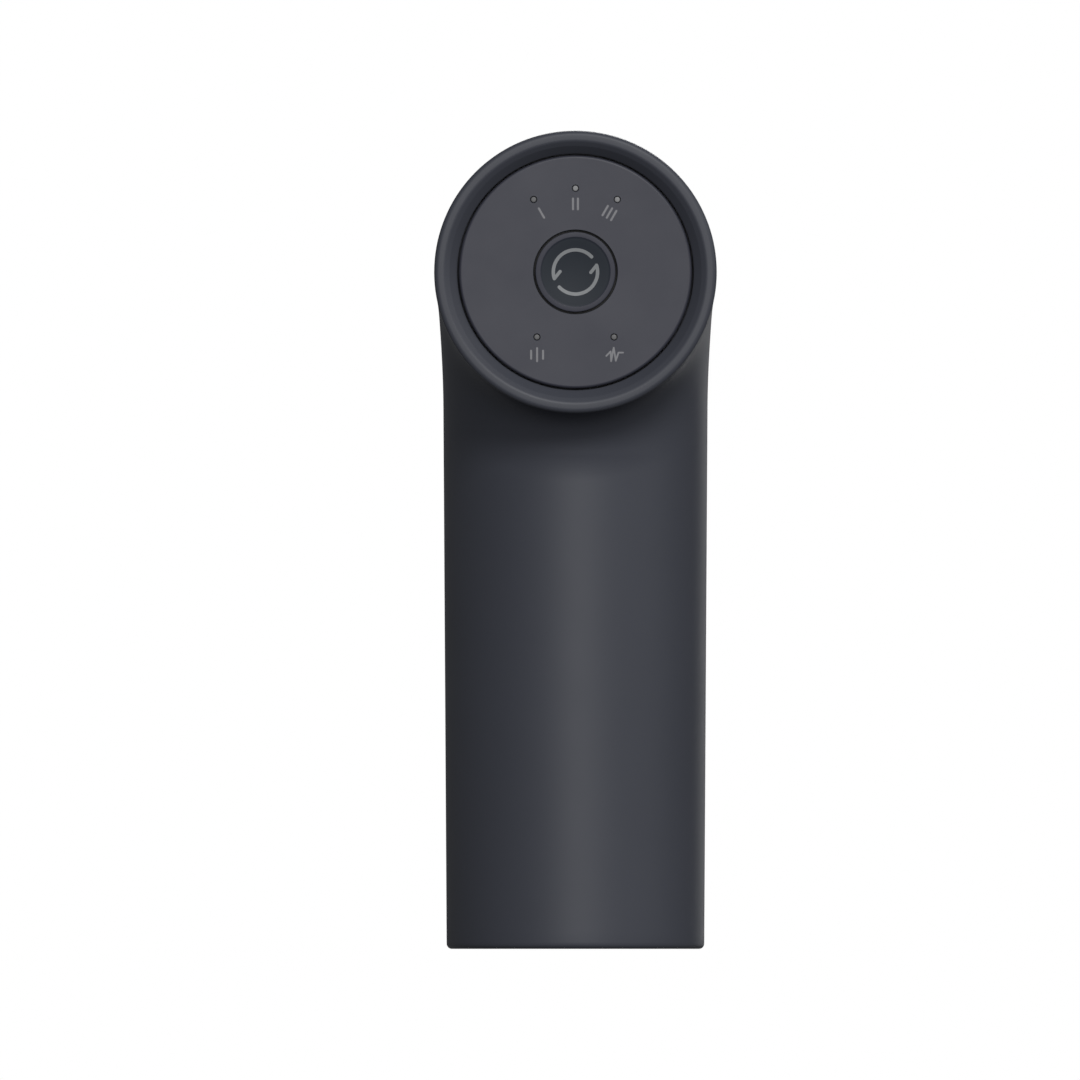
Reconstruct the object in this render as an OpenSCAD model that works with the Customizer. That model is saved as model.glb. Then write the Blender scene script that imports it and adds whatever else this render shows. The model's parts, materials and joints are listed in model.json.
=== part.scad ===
// Compact percussion massage gun.
// +Y is the front, where the massage head is, +X is to the right seen from behind, and +Z is up.
// The origin is the centre of the base face, on the handle's axis.

/* [Housing] */
// Outer diameter of the barrel
barrel_d = 46; // [45:0.5:48]
// Height of the barrel's axis above the base face
axis_z = 110.1; // [110:0.1:112]
// Distance from the handle's axis back to the crest of the rear rim
rear_reach = 31.5; // [31.5:0.1:33]
// Distance from the handle's axis forward to the nose face
nose_reach = 28; // [28:0.1:29]
// Radius of the handle at its base
handle_base_r = 20.95; // [20.9:0.05:21.5]
// Draft of the handle, which widens upwards, in degrees
handle_draft = 0.35; // [0:0.05:0.6]
// Bore of the handle
handle_bore_r = 19.2; // [19.1:0.05:19.4]
// Bore of the barrel
barrel_bore_r = 20.6; // [20.5:0.05:20.8]
// Edge round at the base of the handle
base_edge_r = 1.1; // [0.5:0.1:1.2]
// Round on the outside of the rear rim
rim_edge_r = 1; // [0.6:0.1:1.2]

/* [Rear cover and button] */
// Radius of the opening that the rear cover sits in
rear_opening_r = 19.25; // [19.1:0.05:19.4]
// Radius of the rear cover
cover_r = 18.95; // [18.8:0.05:19]
// Depth of the cover's face below the crest of the rim
cover_sink = 1.6; // [1.4:0.1:2]
// Thickness of the rear cover
cover_t = 1.6; // [1.4:0.1:1.6]
// Radius of the power button
button_r = 6.5; // [6:0.1:6.6]
// Gap around the power button
button_gap = 0.33; // [0.2:0.01:0.4]
// Radius of the dish in the button's face
button_dish_r = 5.6; // [4.5:0.1:5.8]
// Radius of each light pipe
pipe_r = 0.44; // [0.35:0.01:0.5]
// Distance of the three speed lights from the barrel's axis
speed_light_r = 13.6; // [12.5:0.1:14]
// Angle between two neighbouring speed lights
speed_light_step = 30; // [24:1:34]

/* [Battery] */
// Radius of a battery cell
cell_r = 9.15; // [9:0.05:9.2]
// Length of a battery cell
cell_l = 65; // [64:0.5:65]
// Distance of a cell's axis from the handle's axis
cell_x = 9.3; // [9.25:0.05:9.4]

/* [Motor] */
// Outer radius of the rotor bell
bell_r = 17; // [16:0.1:17]
// Wall of the rotor bell
bell_wall = 1.4; // [1:0.1:1.5]
// Outer radius of the stator
stator_r = 13.2; // [12.5:0.1:13.4]
// Number of stator teeth
stator_teeth = 12; // [9:3:12]
// Number of magnets
magnet_count = 14; // [10:2:16]
// Radius of the motor shaft
shaft_r = 2; // [1.5:0.1:2]

/* [Drive] */
// Throw of the crank, half of the stroke
crank_throw = 3.5; // [3:0.1:3.5]
// Radius of the crank pin
pin_r = 2; // [1.8:0.1:2]
// Radius of the counterweight
crank_r = 12; // [10:0.5:12]
// Side of the slider block
block_w = 11; // [10.5:0.1:11]
// Clearance between the slider block and each side of the yoke's slot
slot_gap = 0.8; // [0.78:0.01:0.9]
// Radius of the piston rod
rod_r = 7; // [6.8:0.1:7]
// Radial running clearance of the rods and shafts in their bushings
running_gap = 0.05; // [0.01:0.01:0.1]

/* [Massage head] */
// Radius of the socket in the piston rod
socket_r = 5; // [4.6:0.1:5]
// Radius of the ball
ball_r = 17; // [15:0.5:20]
// Distance from the handle's axis forward to the centre of the ball
ball_reach = 48.5; // [48:0.5:54]

/* [Hidden] */
$fn = 96;
e = 0.01;  // overlap of joined shapes inside a piece, and gap between two pieces that touch

barrel_r = barrel_d / 2;
rear_y = -rear_reach;

// Rear end, from the crest of the rim inwards.
cover_y = rear_y + cover_sink;
cover_in_y = cover_y + cover_t;
rear_ledge = [-24, -22.5];
rear_ledge_r = 17;
board_r = 17.5;
board_y = [-25.6, -24.4];
board_screw_r = 14.5;
board_screw_angles = [75, 180, 285];
switch_w = 5.2;
switch_y = -27.1;
stem_r = 1.25;
stem_y = [-27.75, -26.5];
led_h = 0.7;
lower_lights = [[-6.27, -10.59], [6.27, -10.59]];
speed_lights = [for (a = [-1:1]) [speed_light_r * sin(a * speed_light_step),
                                  speed_light_r * cos(a * speed_light_step)]];
lights = concat(speed_lights, lower_lights);

// Front end, from the drive frame's flange outwards.
front_ledge = [19.5, 22];
front_ledge_r = 17.2;
isolator_t = 1;
flange_y = [front_ledge[1] + isolator_t, front_ledge[1] + isolator_t + 2];
flange_screw_r = 18.9;
nose_cap_t = 1.5;
nose_hole_r = 11.5;

// Base of the handle.
base_cap_t = 2.2;
base_screw_r = 16.9;
base_screw_angles = [30, 150, 270];
boss_r = 2.6;
boss_top = 8.2;
charge_board_z = [boss_top, boss_top + 1.2];
usb_y = 9;
usb_size = [8.9, 3.2];

// Battery stack.
holder_r = 19;
cup_r = cell_r + 0.1;
lower_holder_z = [9.5, 16];
cell_z = [12.1, 12.1 + cell_l];
link_t = 0.3;
upper_holder_z = [cell_z[0] + cell_l - 7, cell_z[0] + cell_l + 2.3];
lead_notch = [11, 5.4];

// Motor stack, on the handle's axis.
bell_z = [82, 97];
bell_end_t = 1.3;
stator_z = [86, 95];
flange_z = [98.5, 100.5];
tube_r = 6;
tube_low_z = 84;
bearing_r = 4.5;
bearing_h = 4;
bearing_z = [84.3, 96.3];
motor_screw_r = 14.5;
tooth_w = 2.6;

// Drive, on the barrel's axis.
frame_z = [flange_z[1], flange_z[1] + 2.5];
frame_x = 13.8;
frame_top_z = axis_z + 7.4;
frame_wall_y = [[-17, -13.2], [13.5, 16.5]];
frame_cover_t = 2;
frame_post = [11.6, 15.1];
tube_out_r = 11.6;
bushing_r = 9;
bushing_y = [13.8, flange_y[1]];
crank_z = [frame_z[1] + 0.3, frame_z[1] + 2.8];
crank_hub_r = 4.5;
crank_small_r = 7.5;
pin_seat = 2;
shaft_z = [80.6, crank_z[1] - pin_seat - 0.2];
block_h = 7;
block_bore_r = 4;
pin_top_z = axis_z + 4.5;
clip_t = 0.4;
clip_z = axis_z + block_h / 2 + 0.25;
yoke_h = 6.6;
slot_half = [9.5, block_w / 2 + slot_gap];
yoke_half = [12.5, slot_half[1] + 2.7];
spigot_r = 2.5;
guide_r = 2.5;
guide_end = -20;
rear_bushing_r = 4.5;
rear_bushing_y = [-17, -13];
rod_neck = [3.8, 16];
rod_tip = 32.5;
socket_bottom = 16.5;
stem_gap = 0.05;
neck_r = 6.5;
collar = [8.5, 2.5];
core_r = 11;
ball_back = rod_tip + collar[1];
o_ring_r = 0.65;
o_ring_y = 21;

// Routes of the inner leads on the +X side and on the middle line.
battery_lead_r = 0.7;
battery_route = [[4, -15, 9.6], [4, -15, 11], [4, -16.4, 14], [4, -17.7, 18], [4, -17.7, 90],
                 [4, -18.6, 95], [4, -20.3, 98.6], [4, -21.55, 98.6]];
motor_lead_r = 0.5;
motor_route = [[0, -13, 97.75], [0, -17.8, 97.75], [0, -19.6, 98.4],
               [0, -20.6, 100.1], [0, -21.55, 100.1]];
motor_lead_step = 1.7;
connector = [11, 2.8, 3.5];
connector_z = 97.6;

// Colours, as the finished pieces show them.
charcoal = [0.23, 0.235, 0.26];
near_black = [0.1, 0.1, 0.11];
board_green = [0.06, 0.28, 0.16];
steel = [0.7, 0.71, 0.73];
dark_steel = [0.35, 0.36, 0.38];
aluminium = [0.78, 0.79, 0.8];
brass = [0.78, 0.62, 0.3];
copper = [0.72, 0.4, 0.2];

// Puts a shape drawn along +Z onto the barrel's axis, pointing to +Y.
module along_barrel(y = 0) {
    translate([0, y, axis_z]) rotate([-90, 0, 0]) children();
}

// Puts a shape at x, z seen from behind, measured from the barrel's axis, pointing to +Y.
module at_rear(x, z, y) {
    along_barrel(y) translate([x, -z, 0]) children();
}

// A tube from z = 0 to h.
module ring(r_out, r_in, h) {
    difference() {
        cylinder(r = r_out, h = h);
        translate([0, 0, -1]) cylinder(r = r_in, h = h + 2);
    }
}

// A box centred on X and Y that stands on z = 0.
module block(size) {
    translate([0, 0, size[2] / 2]) cube(size, center = true);
}

// A half outline, for turning, of a bar with rounded outer edges: radius, length, edge rounds.
module bar_outline(r, l, low_edge, high_edge) {
    translate([0, low_edge]) square([r, l - low_edge - high_edge]);
    square([r - low_edge, low_edge + e]);
    translate([r - low_edge, low_edge]) circle(r = low_edge);
    translate([0, l - high_edge - e]) square([r - high_edge, high_edge + e]);
    translate([r - high_edge, l - high_edge]) circle(r = high_edge);
}

// A screw whose head's underside is at z = 0 and whose shank points down.
module screw(head_r, head_h, shank_r, shank_l) {
    difference() {
        union() {
            cylinder(r = head_r, h = head_h);
            translate([0, 0, -shank_l]) cylinder(r = shank_r, h = shank_l + e);
        }
        translate([0, 0, head_h * 0.4]) cylinder(r = head_r * 0.55, h = head_h, $fn = 6);
    }
}

// A ball bearing that stands on z = 0: two races and the balls between them.
module bearing(r_in, r_out, h, balls) {
    race = (r_out - r_in) * 0.3;
    mid_r = (r_in + r_out) / 2;
    ball = (r_out - r_in - 2 * race) / 2 - e;
    ring(r_in + race, r_in, h);
    ring(r_out, r_out - race, h);
    for (i = [0:balls - 1]) rotate([0, 0, i * 360 / balls]) translate([mid_r, 0, h / 2]) sphere(r = ball);
}

// The unit vector from a to b.
function direction(a, b) = (b - a) / norm(b - a);

// A round lead swept along a route with a ring of 8 points at each of its points.
module lead(route, r) {
    sides = 8;
    last = len(route) - 1;
    tangents = [for (i = [0:last]) direction(route[max(i - 1, 0)], route[min(i + 1, last)])];
    rings = [for (i = [0:last])
        let (across = [1, 0, 0], up = cross(tangents[i], across))
        for (k = [0:sides - 1]) route[i] + r * (cos(k * 360 / sides) * across + sin(k * 360 / sides) * up)];
    walls = [for (i = [0:last - 1]) for (k = [0:sides - 1])
        [i * sides + k, (i + 1) * sides + k, (i + 1) * sides + (k + 1) % sides, i * sides + (k + 1) % sides]];
    ends = [[for (k = [0:sides - 1]) k], [for (k = [sides - 1:-1:0]) last * sides + k]];
    polyhedron(points = rings, faces = concat(walls, ends));
}

// A route bent through each corner by a short curve, so that the lead turns smoothly.
function eased(route) = [for (i = [0:len(route) - 1])
    each i == 0 || i == len(route) - 1
        ? [route[i]]
        : [for (t = [-1, 0, 1])
            let (near = 0.35, before = route[i] + (route[i - 1] - route[i]) * near,
                 after = route[i] + (route[i + 1] - route[i]) * near)
            t < 0 ? before : t > 0 ? after : (before + after + 2 * route[i]) / 4]];

// ---- Housing, caps and seals ----

module barrel_outer() {
    along_barrel(rear_y) rotate_extrude() bar_outline(barrel_r, nose_reach - rear_y, rim_edge_r, 1.2);
}

module handle_outer() {
    top_r = handle_base_r + axis_z * tan(handle_draft);
    low_r = handle_base_r - base_edge_r;
    rotate_extrude() {
        polygon([[0, 0], [low_r, 0], [handle_base_r, base_edge_r], [top_r, axis_z], [0, axis_z]]);
        translate([low_r, base_edge_r]) circle(r = base_edge_r);
    }
}

// The whole inside of the barrel: the rear dish, the cover's seat and the two ledges.
module barrel_inner() {
    dish_r = barrel_r - rim_edge_r - 0.3;
    along_barrel() rotate_extrude() polygon([
        [0, rear_y - 1], [dish_r, rear_y - 1], [dish_r, rear_y], [dish_r - 1.05, rear_y + 0.35],
        [rear_opening_r, rear_y + 1.75], [rear_opening_r, rear_ledge[0]],
        [rear_ledge_r, rear_ledge[0]], [rear_ledge_r, rear_ledge[1]],
        [barrel_bore_r, rear_ledge[1]], [barrel_bore_r, front_ledge[0]],
        [front_ledge_r, front_ledge[0]], [front_ledge_r, front_ledge[1]],
        [barrel_bore_r, front_ledge[1]], [barrel_bore_r, nose_reach + 1], [0, nose_reach + 1]]);
}

module at_base_screws() {
    for (a = base_screw_angles) rotate([0, 0, a]) translate([base_screw_r, 0, 0]) children();
}

module main_housing() {
    color(charcoal) difference() {
        union() {
            difference() {
                union() {
                    barrel_outer();
                    handle_outer();
                }
                barrel_inner();
                translate([0, 0, -1]) cylinder(r = handle_bore_r, h = axis_z - 5);
            }
            at_base_screws() intersection() {
                translate([0, 0, base_cap_t + 0.1]) cylinder(r = boss_r, h = boss_top - base_cap_t - 0.1);
                translate([-base_screw_r, 0, 0]) cylinder(r = handle_bore_r + 0.5, h = boss_top);
            }
        }
        at_base_screws() cylinder(r = 1, h = boss_top - 1);
        for (a = [45:90:315]) along_barrel(front_ledge[0] + 0.3) rotate([0, 0, a])
            translate([flange_screw_r, 0, 0]) cylinder(r = 0.8, h = 5);
    }
}

module nose_cap() {
    color(near_black) along_barrel(nose_reach - nose_cap_t) {
        ring(barrel_bore_r - 0.1, nose_hole_r, nose_cap_t);
        translate([0, 0, -1.2]) ring(nose_hole_r + 1.7, nose_hole_r, 1.3);
    }
}

// A rubber ring with two lips that wipe the piston rod.
module nose_seal() {
    lip_r = rod_r + 0.1;
    color([0.06, 0.06, 0.065]) along_barrel(nose_reach - 2) rotate_extrude() polygon([
        [lip_r + 1.6, 0], [nose_hole_r - e, 0], [nose_hole_r - e, 1.7], [lip_r + 1.2, 1.9],
        [lip_r, 1.9], [lip_r, 1.6], [lip_r + 0.8, 1.2], [lip_r + 0.8, 0.7], [lip_r, 0.3], [lip_r, 0]]);
}

// ---- Rear cover, button and electronics ----

module at_board_screws(y) {
    for (a = board_screw_angles) at_rear(board_screw_r * sin(a), board_screw_r * cos(a), y) children();
}

module rear_cover() {
    color(charcoal) difference() {
        union() {
            along_barrel(cover_y) cylinder(r = cover_r, h = cover_t);
            along_barrel(cover_in_y - e) ring(cover_r, cover_r - 1.15, rear_ledge[0] - cover_in_y - 0.05);
            at_board_screws(cover_in_y - e) cylinder(r = 2, h = board_y[0] - cover_in_y + e);
        }
        along_barrel(cover_y - 1) cylinder(r = button_r + button_gap, h = cover_t + 2);
        for (p = lights) at_rear(p[0], p[1], cover_y - 1) cylinder(r = pipe_r + 0.03, h = cover_t + 2);
        at_board_screws(cover_in_y + 0.4) cylinder(r = 0.9, h = 5);
    }
}

module light_pipes() {
    color([0.82, 0.83, 0.84]) for (p = lights) at_rear(p[0], p[1], cover_y + 0.05) {
        cylinder(r = pipe_r, h = 3.3);
        translate([0, 0, cover_t]) cylinder(r = pipe_r * 2, h = 0.6);
    }
}

// The button has a dished face, a flange that keeps it behind the cover, and a post for the switch.
module power_button() {
    dish_depth = 0.5;
    dish_sphere_r = (pow(button_dish_r, 2) + pow(dish_depth, 2)) / (2 * dish_depth);
    roof = 1.3;
    skirt_l = 2.35;
    color(charcoal) along_barrel(cover_y) difference() {
        union() {
            cylinder(r = button_r, h = skirt_l);
            translate([0, 0, cover_t + 0.15]) cylinder(r = button_r + 1.1, h = 0.6);
        }
        translate([0, 0, dish_depth - dish_sphere_r]) sphere(r = dish_sphere_r);
        translate([0, 0, roof]) ring(button_r - 1.2, 1.6, skirt_l);
        translate([0, 0, stem_y[0] - cover_y]) cylinder(r = 2, h = 1);
    }
}

module switch_stem() {
    color(near_black) along_barrel(stem_y[0]) cylinder(r = stem_r, h = stem_y[1] - stem_y[0]);
}

module tact_switch() {
    color(dark_steel) difference() {
        along_barrel(switch_y) block([switch_w, switch_w, board_y[0] - switch_y]);
        along_barrel(switch_y - 1) cylinder(r = stem_r + running_gap, h = board_y[0] - switch_y + 0.9);
    }
}

module control_board() {
    color(board_green) difference() {
        along_barrel(board_y[0]) cylinder(r = board_r, h = board_y[1] - board_y[0]);
        at_board_screws(board_y[0] - 1) cylinder(r = 1.1, h = 4);
    }
}

module board_chips() {
    color([0.08, 0.08, 0.09]) {
        at_rear(-9, 5, board_y[1]) block([5, 5, 0.9]);
        for (x = [5.5, 10.5]) at_rear(x, -3, board_y[1]) block([4, 4.6, 1]);
        at_rear(8.5, 7.5, board_y[1]) cylinder(r = 2.5, h = 5.5);
        for (i = [0:3]) at_rear(-11.5 + 2.2 * i, -5, board_y[1]) block([1.2, 2, 0.6]);
    }
}

module status_leds() {
    color([0.93, 0.92, 0.82]) for (p = lights) at_rear(p[0], p[1], board_y[0] - led_h)
        block([1.6, 0.9, led_h]);
}

module board_screws() {
    color(steel) at_board_screws(board_y[1]) screw(1.7, 1, 0.9, 3.2);
}

module lead_connector() {
    color([0.88, 0.87, 0.82]) translate([-connector[0] / 2, board_y[1], connector_z]) cube(connector);
}

// ---- Base, battery and leads ----

module base_cap() {
    color(near_black) difference() {
        cylinder(r = handle_bore_r - 0.1, h = base_cap_t);
        translate([0, usb_y, -1])
            linear_extrude(base_cap_t + 2) stadium(usb_size[0] + 0.8, usb_size[1] + 0.6);
        at_base_screws() {
            translate([0, 0, -1]) cylinder(r = 1.05, h = base_cap_t + 2);
            translate([0, 0, -1]) cylinder(r = 2, h = 2.3);
        }
    }
}

// A flat outline with round ends, centred on the origin: length and width.
module stadium(l, w) {
    square([l - w, w], center = true);
    for (s = [-1, 1]) translate([s * (l - w) / 2, 0]) circle(d = w);
}

module base_screws() {
    color(dark_steel) at_base_screws() translate([0, 0, 1.3]) mirror([0, 0, 1]) screw(1.9, 1, 1, 5);
}

module usb_receptacle() {
    color(steel) translate([0, usb_y, 0.6]) {
        difference() {
            linear_extrude(boss_top - 0.6) stadium(usb_size[0], usb_size[1]);
            translate([0, 0, -1]) linear_extrude(7) stadium(usb_size[0] - 0.6, usb_size[1] - 0.6);
        }
        translate([0, 0, 1]) block([6.6, 0.7, 6]);
    }
}

module charge_board() {
    color(board_green) translate([0, 0, charge_board_z[0]])
        cylinder(r = board_r, h = charge_board_z[1] - charge_board_z[0]);
}

module charge_chips() {
    color([0.08, 0.08, 0.09]) {
        translate([-8, -3, boss_top - 0.9]) block([5, 5, 0.9]);
        translate([7, -5, boss_top - 2.4]) block([5, 5, 2.4]);
        for (i = [0:3]) translate([-3 + 2.2 * i, 2, boss_top - 0.8]) block([1.2, 2, 0.8]);
    }
}

module at_cells() {
    for (s = [-1, 1]) translate([s * cell_x, 0, 0]) children();
}

// The leads run up behind the cells through a notch in each holder.
module lead_way(z, h) {
    translate([0, -holder_r, z - 1]) block([lead_notch[0], 2 * lead_notch[1], h + 2]);
}

module cell_holder_lower() {
    h = lower_holder_z[1] - lower_holder_z[0];
    color([0.16, 0.16, 0.17]) difference() {
        translate([0, 0, lower_holder_z[0]]) cylinder(r = holder_r, h = h);
        at_cells() translate([0, 0, cell_z[0] - link_t]) cylinder(r = cup_r, h = h);
        translate([0, 0, cell_z[0] - link_t]) block([2, 6, h]);
        lead_way(lower_holder_z[0], h);
    }
}

module battery_cells() {
    color([0.2, 0.42, 0.62]) at_cells() {
        translate([0, 0, cell_z[0]]) cylinder(r = cell_r, h = cell_l - 0.6);
        translate([0, 0, cell_z[1] - 0.7]) cylinder(r = 3, h = 0.7);
    }
}

module cell_links() {
    color(steel) {
        at_cells() translate([0, 0, cell_z[0] - link_t]) cylinder(r = 4, h = link_t);
        translate([0, 0, cell_z[1]]) block([2 * cell_x + 6, 6, link_t]);
    }
}

module cell_holder_upper() {
    h = upper_holder_z[1] - upper_holder_z[0];
    color([0.16, 0.16, 0.17]) difference() {
        translate([0, 0, upper_holder_z[0]]) cylinder(r = holder_r, h = h);
        at_cells() translate([0, 0, upper_holder_z[0] - 1])
            cylinder(r = cup_r, h = cell_z[1] - upper_holder_z[0] + 1);
        translate([0, 0, upper_holder_z[0] - 1]) block([2, 6, cell_z[1] - upper_holder_z[0] + 1]);
        translate([0, 0, cell_z[1] - 1]) block([2 * cell_x + 6.4, 6.4, 1 + link_t + 0.1]);
        lead_way(upper_holder_z[0], h);
    }
}

module battery_leads() {
    color([0.55, 0.08, 0.08]) lead(eased(battery_route), battery_lead_r);
    color([0.08, 0.08, 0.09]) translate([-8, 0, 0]) lead(eased(battery_route), battery_lead_r);
}

module motor_leads() {
    color([0.15, 0.2, 0.5]) for (i = [-1:1]) translate([i * motor_lead_step, 0, 0])
        lead(eased(motor_route), motor_lead_r);
}

// ---- Motor ----

module at_motor_screws() {
    for (a = [45:90:315]) rotate([0, 0, a]) translate([motor_screw_r, 0, 0]) children();
}

module motor_flange() {
    color(aluminium) difference() {
        union() {
            translate([0, 0, flange_z[0]]) cylinder(r = bell_r, h = flange_z[1] - flange_z[0]);
            translate([0, 0, tube_low_z]) cylinder(r = tube_r, h = flange_z[1] - tube_low_z);
        }
        translate([0, 0, tube_low_z - 1]) cylinder(r = bearing_r - 1, h = 20);
        for (z = bearing_z) translate([0, 0, z]) cylinder(r = bearing_r, h = bearing_h);
        translate([0, 0, tube_low_z - 1]) cylinder(r = bearing_r, h = bearing_z[0] - tube_low_z + 1 + e);
        translate([0, 0, bearing_z[1] + bearing_h - e]) cylinder(r = bearing_r, h = 1);
        at_motor_screws() translate([0, 0, flange_z[0] - 1]) cylinder(r = 1.25, h = 4);
    }
}

// The stator is a hub with teeth, each with a wider shoe at the air gap.
module motor_stator() {
    color(dark_steel) translate([0, 0, stator_z[0]]) difference() {
        intersection() {
            cylinder(r = stator_r, h = stator_z[1] - stator_z[0]);
            union() {
                cylinder(r = tube_r + 1.8, h = stator_z[1] - stator_z[0]);
                for (i = [0:stator_teeth - 1]) rotate([0, 0, i * 360 / stator_teeth]) {
                    translate([stator_r / 2, 0, 0]) block([stator_r, tooth_w, stator_z[1] - stator_z[0]]);
                    translate([stator_r, 0, 0]) block([2.4, tooth_w * 2, stator_z[1] - stator_z[0]]);
                }
            }
        }
        translate([0, 0, -1]) cylinder(r = tube_r, h = 20);
    }
}

// One coil around each tooth.
module motor_windings() {
    coil = [3.4, tooth_w + 1.2, stator_z[1] - stator_z[0] + 1.6];
    color(copper) for (i = [0:stator_teeth - 1]) rotate([0, 0, i * 360 / stator_teeth])
        translate([10, 0, stator_z[0] - 0.8]) difference() {
            block(coil);
            translate([0, 0, 0.8]) block([coil[0] + 1, tooth_w, coil[2] - 1.6]);
        }
}

module motor_bearings() {
    color(steel) for (z = bearing_z) translate([0, 0, z])
        bearing(shaft_r + running_gap / 2, bearing_r, bearing_h, 8);
}

module motor_screws() {
    color(dark_steel) at_motor_screws() translate([0, 0, frame_z[1]]) screw(2, 1.4, 1.25, 4.3);
}

module motor_bell() {
    color(dark_steel) translate([0, 0, bell_z[0]]) difference() {
        cylinder(r = bell_r, h = bell_z[1] - bell_z[0]);
        translate([0, 0, bell_end_t]) cylinder(r = bell_r - bell_wall, h = 20);
        translate([0, 0, -1]) cylinder(r = shaft_r, h = 4);
        for (i = [0:5]) rotate([0, 0, i * 60]) translate([10, 0, -1]) cylinder(r = 2.4, h = 4);
    }
}

module motor_magnets() {
    magnet_in_r = stator_r + 0.7;
    gap = 0.6;
    color([0.6, 0.6, 0.62]) for (i = [0:magnet_count - 1]) rotate([0, 0, i * 360 / magnet_count])
        translate([0, 0, stator_z[0]]) intersection() {
            ring(bell_r - bell_wall, magnet_in_r, stator_z[1] - stator_z[0]);
            translate([bell_r / 2, 0, 0]) block([bell_r, 2 * PI * magnet_in_r / magnet_count - gap, 20]);
        }
}

module motor_shaft() {
    color(steel) translate([0, 0, shaft_z[0]]) cylinder(r = shaft_r, h = shaft_z[1] - shaft_z[0]);
}

// ---- Drive ----

// The crank disc carries the pin on one side and a counterweight on the other.
module crank_disc() {
    h = crank_z[1] - crank_z[0];
    color(steel) difference() {
        union() {
            translate([0, 0, crank_z[0]]) cylinder(r = crank_small_r, h = h);
            intersection() {
                translate([0, 0, crank_z[0]]) cylinder(r = crank_r, h = h);
                translate([-crank_r, 0, crank_z[0]]) block([2 * crank_r - 4, 2 * crank_r, h]);
            }
            translate([0, 0, flange_z[1] + 0.4]) cylinder(r = crank_hub_r, h = crank_z[0] - flange_z[1]);
        }
        translate([0, 0, flange_z[1]]) cylinder(r = shaft_r, h = shaft_z[1] - flange_z[1]);
        translate([crank_throw, 0, crank_z[1] - pin_seat]) cylinder(r = pin_r, h = 3);
    }
}

module crank_pin() {
    color(steel) difference() {
        translate([crank_throw, 0, crank_z[1] - pin_seat])
            cylinder(r = pin_r, h = pin_top_z - crank_z[1] + pin_seat);
        translate([crank_throw, 0, clip_z]) ring(pin_r + 1, pin_r - clip_t, clip_t);
    }
}

module pin_clip() {
    color(dark_steel) translate([crank_throw, 0, clip_z]) ring(pin_r + 1.4, pin_r - clip_t, clip_t);
}

module pin_bearing() {
    h = 5;
    color(steel) translate([crank_throw, 0, axis_z - h / 2])
        bearing(pin_r + running_gap / 2, block_bore_r, h, 9);
}

module slider_block() {
    color(brass) translate([crank_throw, 0, axis_z - block_h / 2]) difference() {
        block([block_w, block_w, block_h]);
        translate([0, 0, -1]) cylinder(r = block_bore_r, h = block_h + 2);
    }
}

// The yoke's slot lies across the barrel, so the slider block pushes it forward and back.
module yoke() {
    color(dark_steel) difference() {
        translate([0, 0, axis_z - yoke_h / 2]) block([2 * yoke_half[0], 2 * yoke_half[1], yoke_h]);
        translate([0, 0, axis_z - yoke_h]) block([2 * slot_half[0], 2 * slot_half[1], 2 * yoke_h]);
        along_barrel(-yoke_half[1] - 1) cylinder(r = spigot_r, h = 2 * yoke_half[1] + 2);
    }
}

module piston_rod() {
    color(aluminium) difference() {
        union() {
            along_barrel(rod_neck[1]) rotate_extrude() bar_outline(rod_r, rod_tip - rod_neck[1], 0.5, 0.8);
            along_barrel(yoke_half[1]) cylinder(r = rod_neck[0], h = rod_neck[1] - yoke_half[1] + 0.5);
            along_barrel(slot_half[1]) cylinder(r = spigot_r, h = yoke_half[1] - slot_half[1] + e);
        }
        along_barrel(socket_bottom + 0.6) cylinder(r = socket_r, h = 30);
        along_barrel(rod_tip - 0.6)
            rotate_extrude() polygon([[0, 0], [socket_r, 0], [socket_r + 0.7, 0.7], [0, 0.7]]);
    }
}

module guide_rod() {
    color(steel) along_barrel(guide_end) cylinder(r = guide_r, h = -slot_half[1] - guide_end);
}

module at_frame_posts(z) {
    for (s = [-1, 1]) for (y = [-frame_post[1], frame_post[1]])
        translate([s * frame_post[0], y, z]) children();
}

module drive_frame() {
    color([0.2, 0.21, 0.22]) difference() {
        union() {
            translate([-frame_x, frame_wall_y[0][0], frame_z[0]])
                cube([2 * frame_x, flange_y[1] - frame_wall_y[0][0], frame_z[1] - frame_z[0]]);
            for (w = frame_wall_y) translate([-frame_x, w[0], frame_z[0]])
                cube([2 * frame_x, w[1] - w[0], frame_top_z - frame_z[0]]);
            along_barrel(frame_wall_y[1][0]) cylinder(r = tube_out_r, h = flange_y[1] - frame_wall_y[1][0]);
            along_barrel(flange_y[0]) cylinder(r = barrel_bore_r - 0.3, h = flange_y[1] - flange_y[0]);
        }
        along_barrel(frame_wall_y[1][0] - 1) cylinder(r = bushing_r, h = 20);
        along_barrel(frame_wall_y[0][0] - 1) cylinder(r = rear_bushing_r, h = 6);
        translate([0, 0, flange_z[0] - 5]) cylinder(r = bell_r + 0.3, h = flange_z[1] - flange_z[0] + 5);
        translate([0, 0, frame_z[0] - 1]) cylinder(r = crank_hub_r + 1, h = 5);
        at_motor_screws() translate([0, 0, frame_z[0] - 1]) cylinder(r = 1.35, h = 5);
        at_frame_posts(frame_top_z - 5) cylinder(r = 1, h = 6);
        for (a = [45:90:315]) along_barrel(flange_y[0] - 1) rotate([0, 0, a])
            translate([flange_screw_r, 0, 0]) cylinder(r = 1.05, h = 4);
    }
}

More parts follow.
